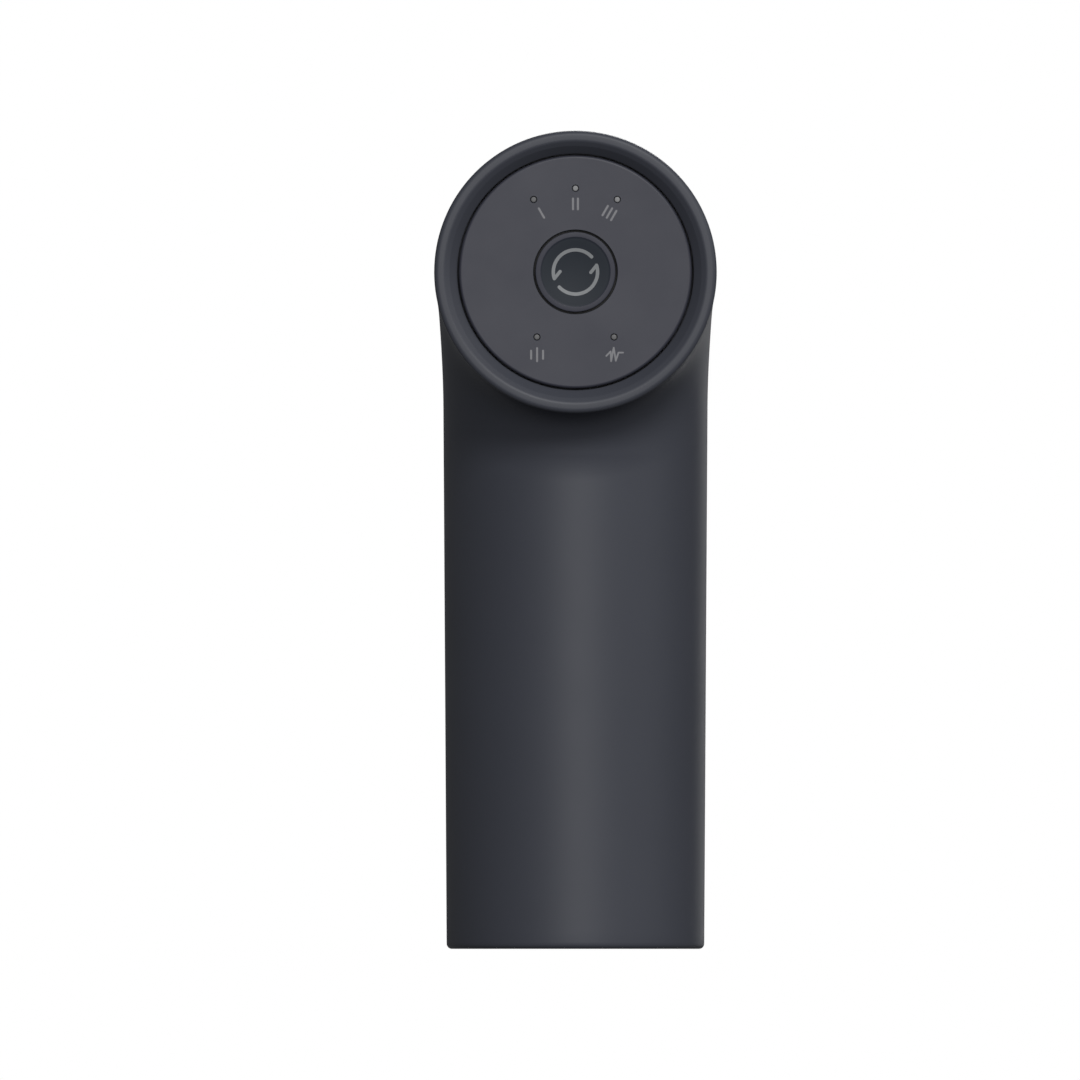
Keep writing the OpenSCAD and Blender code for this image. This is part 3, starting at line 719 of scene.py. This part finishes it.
TICK_R = 11.06
TICK_GAP = 0.8
ticks = []
for count, angle in enumerate(SPEED_ANGLES, start=1):
    a = math.radians(angle)
    along = np.array([math.sin(a), math.cos(a)]) * TICK_R
    across = np.array([math.cos(a), -math.sin(a)])
    for k in range(count):
        x, y = along + across * (k - (count - 1) / 2) * TICK_GAP
        ticks.append(bar(x, y, 2.08, 0.34, angle))
LEVEL_X, LEVEL_Y = -6.24, -13.46
level = [bar(LEVEL_X, LEVEL_Y, 2.45, 0.33)]
level += [bar(LEVEL_X + s * 0.97, LEVEL_Y, 1.62, 0.33) for s in (-1, 1)]
PULSE_X, PULSE_Y = 6.34, -13.46
pulse_shape = (
    (-1.33, -0.2),
    (-0.62, 0.52),
    (-0.54, -1.05),
    (-0.12, 1.14),
    (0.22, -0.98),
    (0.66, 0.34),
    (1.4, 0.34),
)
pulse = polyline([(PULSE_X + x, PULSE_Y + y) for x, y in pulse_shape], 0.28)
film("cover_marks", ticks + level + pulse, flat, "housing", "cover_ink")

# ---- Front end: nose, rod and massage head ----

nose = lathe(
    "nose_ring",
    rounded(
        [
            (BORE_R - 0.1, NOSE_Y - 1.5, 0),
            (BORE_R - 0.1, NOSE_Y - 0.22, 0.35),
            (17.25, NOSE_Y - 0.22, 0.08),
            (17.1, NOSE_Y - 0.5, 0.08),
            (16.7, NOSE_Y - 0.5, 0.08),
            (16.55, NOSE_Y - 0.22, 0.08),
            (12.6, NOSE_Y - 0.22, 0.3),
            (12.2, NOSE_Y - 0.05, 0.2),
            (11.5, NOSE_Y - 0.05, 0.2),
            (11.5, NOSE_Y - 2.7, 0),
            (13.2, NOSE_Y - 2.7, 0),
            (13.2, NOSE_Y - 1.5, 0),
        ]
    ),
    160,
)
sharp_edges(nose, 50)
piece(nose, "housing", "black_plastic", "nose_cap")

seal = lathe(
    "nose_lip_seal",
    rounded(
        [
            (11.48, SEAL_LOW[1], 0),
            (11.48, SEAL_LOW[1] + 1.7, 0.15),
            (10.2, SEAL_LOW[1] + 1.55, 0.4),
            (9.3, SEAL_LOW[1] + 0.95, 0.5),
            (8.4, SEAL_HIGH[1], 0.35),
            (ROD_R + 0.1, SEAL_HIGH[1], 0.12),
            (ROD_R + 0.1, SEAL_HIGH[1] - 0.3, 0.05),
            (ROD_R + 0.9, SEAL_HIGH[1] - 0.8, 0.1),
            (ROD_R + 0.9, SEAL_LOW[1] + 0.6, 0.1),
            (ROD_R + 0.1, SEAL_LOW[1] + 0.3, 0.05),
            (ROD_R + 0.1, SEAL_LOW[1], 0),
        ]
    ),
    128,
)
sharp_edges(seal, 55)
piece(seal, "housing", "seal_rubber", "nose_seal")

SOCKET_R = STEM_R + 0.05
rod = lathe(
    "piston_rod_body",
    rounded(
        [
            (0, ROD_LOW[1], 0),
            (2.5, ROD_LOW[1], 0),
            (2.5, ROD_LOW[1] + 2.7, 0),
            (3.8, ROD_LOW[1] + 2.7, 0.2),
            (3.8, 16, 0.3),
            (ROD_R, 16, 0.5),
            (ROD_R, ROD_HIGH[1], 0.55),
            (SOCKET_R + 0.7, ROD_HIGH[1], 0.05),
            (SOCKET_R, ROD_HIGH[1] - 0.7, 0.05),
            (SOCKET_R, 17.1, 0),
            (0, 17.1, 0),
        ]
    ),
    128,
)
sharp_edges(rod, 50)
piece(rod, "piston", "casting", "piston_rod")

COLLAR_Y = ROD_HIGH[1]
BALL_BACK = BALL_LOW[1]
groove = (O_RING_LOW[1], O_RING_HIGH[1])
core_from = BALL_Y - math.sqrt(CORE_R**2 - NECK_R**2)
core = [
    (CORE_R * math.sin(a), BALL_Y - CORE_R * math.cos(a))
    for a in np.linspace(math.asin(NECK_R / CORE_R), math.pi, 40)
]
stem_outline = rounded(
    [
        (0, STEM_LOW[1], 0),
        (STEM_R, STEM_LOW[1], 0.6),
        (STEM_R, groove[0], 0.08),
        (STEM_R - 1.3, groove[0], 0.1),
        (STEM_R - 1.3, groove[1], 0.1),
        (STEM_R, groove[1], 0.08),
        (STEM_R, COLLAR_Y, 0.1),
        (COLLAR_R, COLLAR_Y, 0.5),
        (COLLAR_R, COLLAR_Y + 0.95, 0.1),
        (COLLAR_R - 0.3, COLLAR_Y + 1.1, 0.08),
        (COLLAR_R - 0.3, COLLAR_Y + 1.4, 0.08),
        (COLLAR_R, COLLAR_Y + 1.55, 0.1),
        (COLLAR_R, COLLAR_Y + 2.5, 0.3),
        (NECK_R, COLLAR_Y + 2.5, 0.05),
        (NECK_R, core_from, 0),
    ],
    closed=False,
)
stem = lathe("head_stem_and_core", stem_outline + core, 128)
sharp_edges(stem, 50)
piece(stem, "massage_head", "black_plastic", "head_stem")

ball_edge = math.acos((BALL_Y - BALL_BACK) / BALL_R)
SEAM_TURN = 0.012
SEAM_DEPTH = 0.09
equator = math.pi / 2
outer_arc = []
for a in np.concatenate(
    [
        np.linspace(ball_edge, equator - 2 * SEAM_TURN, 56),
        [equator - SEAM_TURN, equator, equator + SEAM_TURN],
        np.linspace(equator + 2 * SEAM_TURN, math.pi, 72),
    ]
):
    r = BALL_R - (SEAM_DEPTH if abs(a - equator) < 1.5 * SEAM_TURN else 0)
    outer_arc.append((r * math.sin(a), BALL_Y - r * math.cos(a), 0.7 if a == ball_edge else 0))
hollow_r, mouth_r = CORE_R + 0.02, NECK_R + 0.03
inner_arc = [
    (hollow_r * math.sin(a), BALL_Y - hollow_r * math.cos(a), 0)
    for a in np.linspace(math.pi, math.asin(mouth_r / hollow_r), 30)
]
ball = lathe(
    "massage_ball",
    rounded([(mouth_r, BALL_BACK, 0.1)] + outer_arc + inner_arc, steps=4),
    192,
)
sharp_edges(ball, 60)
piece(ball, "massage_head", "ball", "head_ball")

# ---- Base ----

base_holes = [slot_hole(0, USB_Y, 9.7, 3.8, 24)]
screw_places = [
    (BASE_SCREW_R * math.cos(math.radians(a)), BASE_SCREW_R * math.sin(math.radians(a)))
    for a in BASE_SCREW_ANGLES
]
base_holes += [hole(x, y, 2.0, 48) for x, y in screw_places]
base = plate(
    "base_plate",
    [circle(0, 0, CAP_HIGH[0], 192)] + base_holes,
    edge_profile(CAP_HIGH[2] - BASE_SINK, 0.2),
    lambda x, y, depth: (x, y, BASE_SINK + depth),
)
seats = []
for x, y in screw_places:
    seat = lathe("seat", [(1.03, 1.35), (2.02, 1.35), (2.02, 2.15), (1.03, 2.15)], 32, upright=True)
    seat.data.transform(Matrix.Translation(Vector((x, y, 0)) * MM))
    seats.append(seat)
absorb(base, *seats)
sharp_edges(base, 40)
piece(base, "housing", "black_plastic", "base_cap")

# ---- Edge rounds on CAD pieces that stay ----

for node, width in {
    "base_screws": 0.12,
    "usb_receptacle": 0.05,
    "yoke": 0.4,
    "slider_block": 0.3,
    "crank_disc": 0.2,
    "motor_bell": 0.2,
    "drive_frame": 0.3,
    "frame_cover": 0.3,
    "control_board": 0.05,
    "lead_connector": 0.2,
}.items():
    bevel = frame["nodes"][node].modifiers.new("edge_round", "BEVEL")
    bevel.width = width * MM
    bevel.segments = 2
    bevel.limit_method = "ANGLE"
    bevel.angle_limit = math.radians(40)

# ---- Materials ----

CHARCOAL = (0.0220, 0.0236, 0.0300)
COVER_GREY = (0.0165, 0.0172, 0.0240)
BUTTON_DISH = (0.0079, 0.0102, 0.0140)
# Painted shade: the near-black colour painted in the button's gap, below the cover's face.
PAINTED_GAP_SHADE = (0.0012, 0.0012, 0.0013)
BLACK = (0.0115, 0.0115, 0.0125)
COPPER = (0.55, 0.2, 0.07)
SHEET_STEEL = (0.15, 0.15, 0.16)
# Painted light: the first colour is painted on the two brighter speed lights, the second is the other lenses'
# own colour.
LENS_PAINTED_LIGHT = (0.10, 0.10, 0.102)
LENS_DIM = (0.048, 0.048, 0.049)


class Tree:
    """A small helper for building one material's nodes."""

    def __init__(self, name):
        self.material = bpy.data.materials.new(name)
        self.material.use_nodes = True
        self.nodes = self.material.node_tree.nodes
        self.links = self.material.node_tree.links
        self.shader = self.nodes["Principled BSDF"]
        self.place = self.add("ShaderNodeTexCoord").outputs["Object"]

    def add(self, kind, **settings):
        node = self.nodes.new(kind)
        for key, value in settings.items():
            setattr(node, key, value)
        return node

    def feed(self, socket, value):
        if isinstance(value, bpy.types.NodeSocket):
            self.links.new(value, socket)
        else:
            socket.default_value = value

    def noise(self, scale, detail=3.0, roughness=0.55):
        node = self.add("ShaderNodeTexNoise")
        self.feed(node.inputs["Vector"], self.place)
        self.feed(node.inputs["Scale"], scale)
        self.feed(node.inputs["Detail"], detail)
        self.feed(node.inputs["Roughness"], roughness)
        return node.outputs["Fac"]

    def wave(self, direction, period_mm, distortion=0.0):
        """Straight bands across a direction."""
        node = self.add("ShaderNodeTexWave", wave_type="BANDS", bands_direction=direction)
        self.feed(node.inputs["Vector"], self.place)
        self.feed(node.inputs["Scale"], 2 * math.pi / 20 / (period_mm * MM))
        self.feed(node.inputs["Distortion"], distortion)
        return node.outputs["Fac"]

    def math(self, operation, a, b=0.0):
        node = self.add("ShaderNodeMath", operation=operation)
        self.feed(node.inputs[0], a)
        self.feed(node.inputs[1], b)
        return node.outputs[0]

    def spread(self, value, low, high, to_low, to_high):
        node = self.add("ShaderNodeMapRange")
        keys = ("Value", "From Min", "From Max", "To Min", "To Max")
        for key, number in zip(keys, (value, low, high, to_low, to_high)):
            self.feed(node.inputs[key], number)
        return node.outputs["Result"]

    def mix(self, fac, a, b):
        node = self.add("ShaderNodeMix", data_type="RGBA")
        self.feed(node.inputs["Factor"], fac)
        for socket, value in ((node.inputs[6], a), (node.inputs[7], b)):
            self.feed(socket, (*value, 1.0) if isinstance(value, tuple) else value)
        return node.outputs[2]

    def mix_value(self, fac, a, b):
        node = self.add("ShaderNodeMix", data_type="FLOAT")
        self.feed(node.inputs["Factor"], fac)
        self.feed(node.inputs[2], a)
        self.feed(node.inputs[3], b)
        return node.outputs[0]

    def axis(self, name):
        node = self.add("ShaderNodeSeparateXYZ")
        self.feed(node.inputs[0], self.place)
        return node.outputs[name]

    def radius(self, a, b, middle_b=0.0):
        """Distance from a line along the third axis, in millimetres."""
        x = self.math("POWER", self.axis(a), 2.0)
        y = self.math("POWER", self.math("SUBTRACT", self.axis(b), middle_b * MM), 2.0)
        return self.math("DIVIDE", self.math("SQRT", self.math("ADD", x, y)), MM)

    def bump(self, height, depth_mm, strength=1.0, below=None):
        node = self.add("ShaderNodeBump")
        self.feed(node.inputs["Height"], height)
        self.feed(node.inputs["Distance"], depth_mm * MM)
        self.feed(node.inputs["Strength"], strength)
        if below is not None:
            self.feed(node.inputs["Normal"], below)
        return node.outputs["Normal"]


def shade(color, amount):
    return tuple(min(1.0, c * amount) for c in color)


def finish(
    name,
    color,
    rough,
    metallic=0.0,
    vary=0.06,
    patch=45.0,
    rough_vary=0.05,
    grain=None,
    extra=None,
    **sockets,
):
    """A material with patchy colour and roughness and, if grain is (size in mm, depth in mm), a fine texture.
    extra(tree, tint, roughness, normal) returns the three, changed. Sockets are set directly by name."""
    tree = Tree(name)
    patches = tree.spread(tree.noise(patch, 4.0), 0.3, 0.7, 0.0, 1.0)
    tint = tree.mix(patches, shade(color, 1 - vary), shade(color, 1 + vary))
    rough_patches = tree.noise(patch * 2.3, 3.0)
    roughness = tree.spread(rough_patches, 0.3, 0.7, rough - rough_vary, rough + rough_vary)
    normal = None
    if grain:
        size, depth = grain
        normal = tree.bump(tree.noise(1.0 / (size * MM), 2.0), depth)
    if extra:
        tint, roughness, normal = extra(tree, tint, roughness, normal)
    tree.feed(tree.shader.inputs["Base Color"], tint)
    tree.feed(tree.shader.inputs["Roughness"], roughness)
    tree.feed(tree.shader.inputs["Metallic"], metallic)
    if normal is not None:
        tree.feed(tree.shader.inputs["Normal"], normal)
    for key, value in sockets.items():
        tree.feed(tree.shader.inputs[key.replace("_", " ")], value)
    return tree.material


def turned(direction, period, depth):
    """Fine lathe lines across an axis."""

    def extra(tree, tint, rough, normal):
        lines = tree.wave(direction, period, 0.4)
        return tint, rough, tree.bump(lines, depth, below=normal)

    return extra


def button_dish_and_painted_shade(tree, tint, rough, normal):
    """The dish is darker and rougher than the rim, and the side of the button below its face is painted dark
    as painted shade.
    """
    r = tree.radius("X", "Z", AXIS_Z)
    inside = tree.spread(r, DISH_R + 0.1, DISH_R - 0.02, 0.0, 1.0)
    tinted = tree.mix(inside, tint, BUTTON_DISH)
    return painted_gap_shade(tree, tinted, r, 0.16), tree.mix_value(inside, rough, 0.56), normal


def painted_gap_shade(tree, tint, r, depth):
    """Painted shade: darkens what lies more than depth millimetres below the cover's face near the button's
    gap.
    """
    below = tree.math("GREATER_THAN", tree.axis("Y"), (COVER_Y + depth) * MM)
    outside = tree.math("GREATER_THAN", r, BUTTON_R - 0.03)
    near_gap = tree.math("MULTIPLY", outside, tree.math("LESS_THAN", r, BUTTON_R + 1.5))
    return tree.mix(tree.math("MULTIPLY", below, near_gap), tint, PAINTED_GAP_SHADE)


def cover_painted_shade(tree, tint, rough, normal):
    """The wall of the cover's middle hole is painted dark below the face, as painted shade."""
    return painted_gap_shade(tree, tint, tree.radius("X", "Z", AXIS_Z), 0.14), rough, normal


def board_tracks(tree, tint, rough, normal):
    """Lighter copper tracks and round pads under the solder mask."""
    crossing = tree.math("MULTIPLY", tree.wave("X", 1.4, 3.0), tree.wave("Z", 2.2, 2.0))
    tracks = tree.math("GREATER_THAN", crossing, 0.55)
    return tree.mix(tracks, tint, (0.05, 0.22, 0.1)), rough, tree.bump(tracks, 0.03)


def coil_turns_and_shade(tree, tint, rough, normal):
    """Wire lying in turns, with painted shade darkening the copper between them."""
    turns = tree.wave("Z", 0.42, 0.6)
    return tree.mix(turns, shade(COPPER, 0.45), tint), rough, tree.bump(turns, 0.1)


def laminations(tree, tint, rough, normal):
    """Stacked steel sheets, darker between them."""
    sheets = tree.wave("Z", 0.5)
    return tree.mix(sheets, shade(SHEET_STEEL, 0.6), tint), rough, tree.bump(sheets, 0.05)


def cell_sleeve(tree, tint, rough, normal):
    """Blue sleeve with a plain pale band, and bare metal at the cap."""
    z = tree.axis("Z")
    band = tree.math("MULTIPLY", tree.math("GREATER_THAN", z, 0.058), tree.math("LESS_THAN", z, 0.063))
    cap = tree.math("GREATER_THAN", z, 0.0765)
    tinted = tree.mix(band, tint, (0.45, 0.5, 0.55))
    return tree.mix(cap, tinted, (0.55, 0.55, 0.56)), rough, normal


def port_tint(tree, tint, rough, normal):
    """The tongue inside the plated shell is black plastic with gold contact strips."""
    y = tree.math("ABSOLUTE", tree.math("SUBTRACT", tree.axis("Y"), USB_Y * MM))
    x = tree.math("ABSOLUTE", tree.axis("X"))
    tongue = tree.math("MULTIPLY", tree.math("LESS_THAN", y, 0.0005), tree.math("LESS_THAN", x, 0.0036))
    strips = tree.math("MULTIPLY", tongue, tree.math("GREATER_THAN", tree.wave("X", 0.5), 0.6))
    dark = tree.mix(tongue, tint, (0.02, 0.02, 0.022))
    return tree.mix(tree.math("MULTIPLY", strips, 0.8), dark, (0.5, 0.35, 0.1)), rough, normal


def lead_colors(tree, tint, rough, normal):
    """Left leads black, right lead red, and the motor's three leads in three greys."""
    left = tree.math("LESS_THAN", tree.axis("X"), -0.0025)
    middle = tree.math("LESS_THAN", tree.math("ABSOLUTE", tree.axis("X")), 0.0023)
    steps = tree.spread(tree.axis("X"), -0.002, 0.002, 0.02, 0.12)
    grey = tree.add("ShaderNodeCombineColor")
    for socket in grey.inputs[:3]:
        tree.feed(socket, steps)
    return tree.mix(middle, tree.mix(left, tint, (0.015, 0.015, 0.016)), grey.outputs[0]), rough, normal


def lens_painted_light(tree, tint, rough, normal):
    """Painted light: the two speed lights at the middle and the right are painted brighter than the others.
    """
    above = tree.math("GREATER_THAN", tree.axis("Z"), AXIS_Z * MM)
    lit = tree.math("MULTIPLY", above, tree.math("GREATER_THAN", tree.axis("X"), -0.003))
    return tree.mix(lit, LENS_DIM, tint), rough, normal


FINISHES = {
    "housing": finish(
        "soft_touch_charcoal", CHARCOAL, 0.5, vary=0.025, grain=(0.16, 0.0016), rough_vary=0.012,
        Specular_IOR_Level=0.18,
    ),
    "black_plastic": finish(
        "moulded_black", BLACK, 0.46, vary=0.1, grain=(0.25, 0.004), Specular_IOR_Level=0.3,
    ),
    "seal_rubber": finish(
        "seal_rubber", (0.008, 0.008, 0.0085), 0.62, vary=0.15, grain=(0.3, 0.004),
        Specular_IOR_Level=0.25,
    ),
    "cover": finish(
        "satin_cover", COVER_GREY, 0.48, vary=0.02, grain=(0.2, 0.0012), rough_vary=0.03,
        extra=cover_painted_shade, Specular_IOR_Level=0.18,
    ),
    "light_pipe": finish(
        "frosted_lens", LENS_PAINTED_LIGHT, 0.5, vary=0.05, patch=900.0, extra=lens_painted_light,
        Specular_IOR_Level=0.25,
    ),
    "button": finish(
        "satin_button", COVER_GREY, 0.42, vary=0.02, grain=(0.2, 0.0012), extra=button_dish_and_painted_shade,
        Specular_IOR_Level=0.1,
    ),
    "board": finish(
        "solder_mask", (0.012, 0.09, 0.04), 0.35, vary=0.1, extra=board_tracks, Coat_Weight=0.4,
        Coat_Roughness=0.15,
    ),
    "chip": finish("moulded_epoxy", (0.016, 0.016, 0.018), 0.5, vary=0.2, patch=300.0, grain=(0.15, 0.004)),
    "lamp": finish("led_package", (0.8, 0.76, 0.5), 0.3, vary=0.08, patch=400.0),
    "connector": finish(
        "natural_nylon", (0.62, 0.59, 0.5), 0.45, vary=0.06, patch=200.0, grain=(0.2, 0.003),
    ),
    "screw": finish("zinc_plate", (0.36, 0.36, 0.38), 0.32, 1.0, vary=0.1, patch=300.0, grain=(0.2, 0.002)),
    "shell_steel": finish(
        "drawn_steel", (0.55, 0.55, 0.57), 0.28, 1.0, vary=0.06, patch=200.0, extra=port_tint,
    ),
    "holder": finish("black_abs", (0.022, 0.022, 0.024), 0.5, vary=0.12, grain=(0.25, 0.004)),
    "cell": finish(
        "cell_sleeve", (0.02, 0.10, 0.28), 0.35, vary=0.1, extra=cell_sleeve, Coat_Weight=0.3,
        Coat_Roughness=0.2,
    ),
    "nickel": finish(
        "nickel_strip", (0.62, 0.58, 0.5), 0.3, 1.0, vary=0.08, patch=200.0,
        extra=turned("Y", 0.1, 0.002),
    ),
    "lead": finish("silicone_lead", (0.32, 0.02, 0.02), 0.55, vary=0.08, extra=lead_colors),
    "casting": finish(
        "turned_aluminium", (0.66, 0.67, 0.69), 0.38, 1.0, vary=0.04,
        extra=turned("Y", 0.16, 0.0025),
    ),
    "lamination": finish("lamination_stack", SHEET_STEEL, 0.45, 0.9, vary=0.1, extra=laminations),
    "winding": finish("enamelled_copper", COPPER, 0.3, 0.9, vary=0.1, extra=coil_turns_and_shade),
    "magnet": finish(
        "plated_magnet", (0.5, 0.5, 0.52), 0.2, 1.0, vary=0.06, patch=200.0, grain=(0.4, 0.002),
    ),
    "steel": finish(
        "ground_steel", (0.5, 0.51, 0.53), 0.27, 1.0, vary=0.06, patch=120.0,
        extra=turned("Z", 0.12, 0.002),
    ),
    "bronze": finish(
        "sintered_bronze", (0.42, 0.26, 0.09), 0.42, 1.0, vary=0.16, patch=600.0,
        grain=(0.12, 0.005),
    ),
    "frame": finish(
        "glass_filled_nylon", (0.028, 0.029, 0.032), 0.55, vary=0.2, patch=300.0,
        grain=(0.15, 0.006),
    ),
    "ball": finish(
        "dense_foam", (0.0190, 0.0190, 0.0205), 0.66, vary=0.12, patch=120.0, grain=(0.32, 0.012),
        Specular_IOR_Level=0.25,
    ),
    "button_ink": finish(
        "button_ink", (0.094, 0.098, 0.102), 0.5, vary=0.04, patch=500.0, Specular_IOR_Level=0.2,
    ),
    "cover_ink": finish(
        "cover_ink", (0.09, 0.09, 0.096), 0.5, vary=0.04, patch=500.0, Specular_IOR_Level=0.2,
    ),
}

for obj, slot_name in PIECES:
    obj.data.materials.clear()
    obj.data.materials.append(FINISHES[slot_name])
for part in frame["record"]["subparts"]:
    mesh = frame["nodes"][part["node"]].data
    mesh.materials.clear()
    mesh.materials.append(FINISHES[part["material_slot"]])

# ---- Floor, light and camera ----

bpy.ops.mesh.primitive_plane_add(size=FLOOR_SIZE, location=(0, 0, -FLOOR_DROP))
floor = bpy.context.object
floor.name = "floor"
floor_tree = Tree("pale_floor")
floor_tint = floor_tree.mix(floor_tree.noise(6.0), FLOOR_LOW, FLOOR_HIGH)
floor_tree.feed(floor_tree.shader.inputs["Base Color"], floor_tint)
floor_tree.feed(floor_tree.shader.inputs["Roughness"], 0.7)
floor_tree.feed(floor_tree.shader.inputs["Specular IOR Level"], 0.0)
floor.data.materials.append(floor_tree.material)
# No light bounces from the floor onto the gun.
floor.visible_diffuse = False
floor.visible_glossy = False


def lamp(name, data, place):
    """Puts a light at a place, aimed at the gun's middle."""
    obj = linked(name, data)
    obj.location = place
    obj.rotation_euler = (LIGHT_TARGET - Vector(place)).to_track_quat("-Z", "Y").to_euler()


for name, place, strength, angle in SUNS:
    sun = bpy.data.lights.new(name, "SUN")
    sun.energy = strength
    sun.angle = math.radians(angle)
    lamp(name, sun, place)
for name, place, width, height, power in SOFTBOXES:
    box = bpy.data.lights.new(name, "AREA")
    box.shape = "RECTANGLE"
    box.size, box.size_y = width, height
    box.energy = power
    lamp(name, box, place)

# The camera sees a white backdrop, and every other ray meets the ambient light.
world = bpy.data.worlds.new("studio")
bpy.context.scene.world = world
world.use_nodes = True
nodes, links = world.node_tree.nodes, world.node_tree.links
backdrop = nodes["Background"]
backdrop.inputs["Color"].default_value = (1, 1, 1, 1)
ambient = nodes.new("ShaderNodeBackground")
ambient.inputs["Color"].default_value = (*AMBIENT_COLOR, 1)
ambient.inputs["Strength"].default_value = AMBIENT
rays = nodes.new("ShaderNodeLightPath")
choice = nodes.new("ShaderNodeMixShader")
links.new(rays.outputs["Is Camera Ray"], choice.inputs[0])
links.new(ambient.outputs[0], choice.inputs[1])
links.new(backdrop.outputs[0], choice.inputs[2])
links.new(choice.outputs[0], nodes["World Output"].inputs["Surface"])

camera = linked("camera", bpy.data.cameras.new("camera"))
camera.data.type = "ORTHO"
camera.data.ortho_scale = FRAME_WIDTH
camera.location = CAMERA_PLACE
camera.rotation_euler = (math.radians(90), 0, 0)
bpy.context.scene.camera = camera
bpy.context.scene.view_settings.view_transform = "Standard"
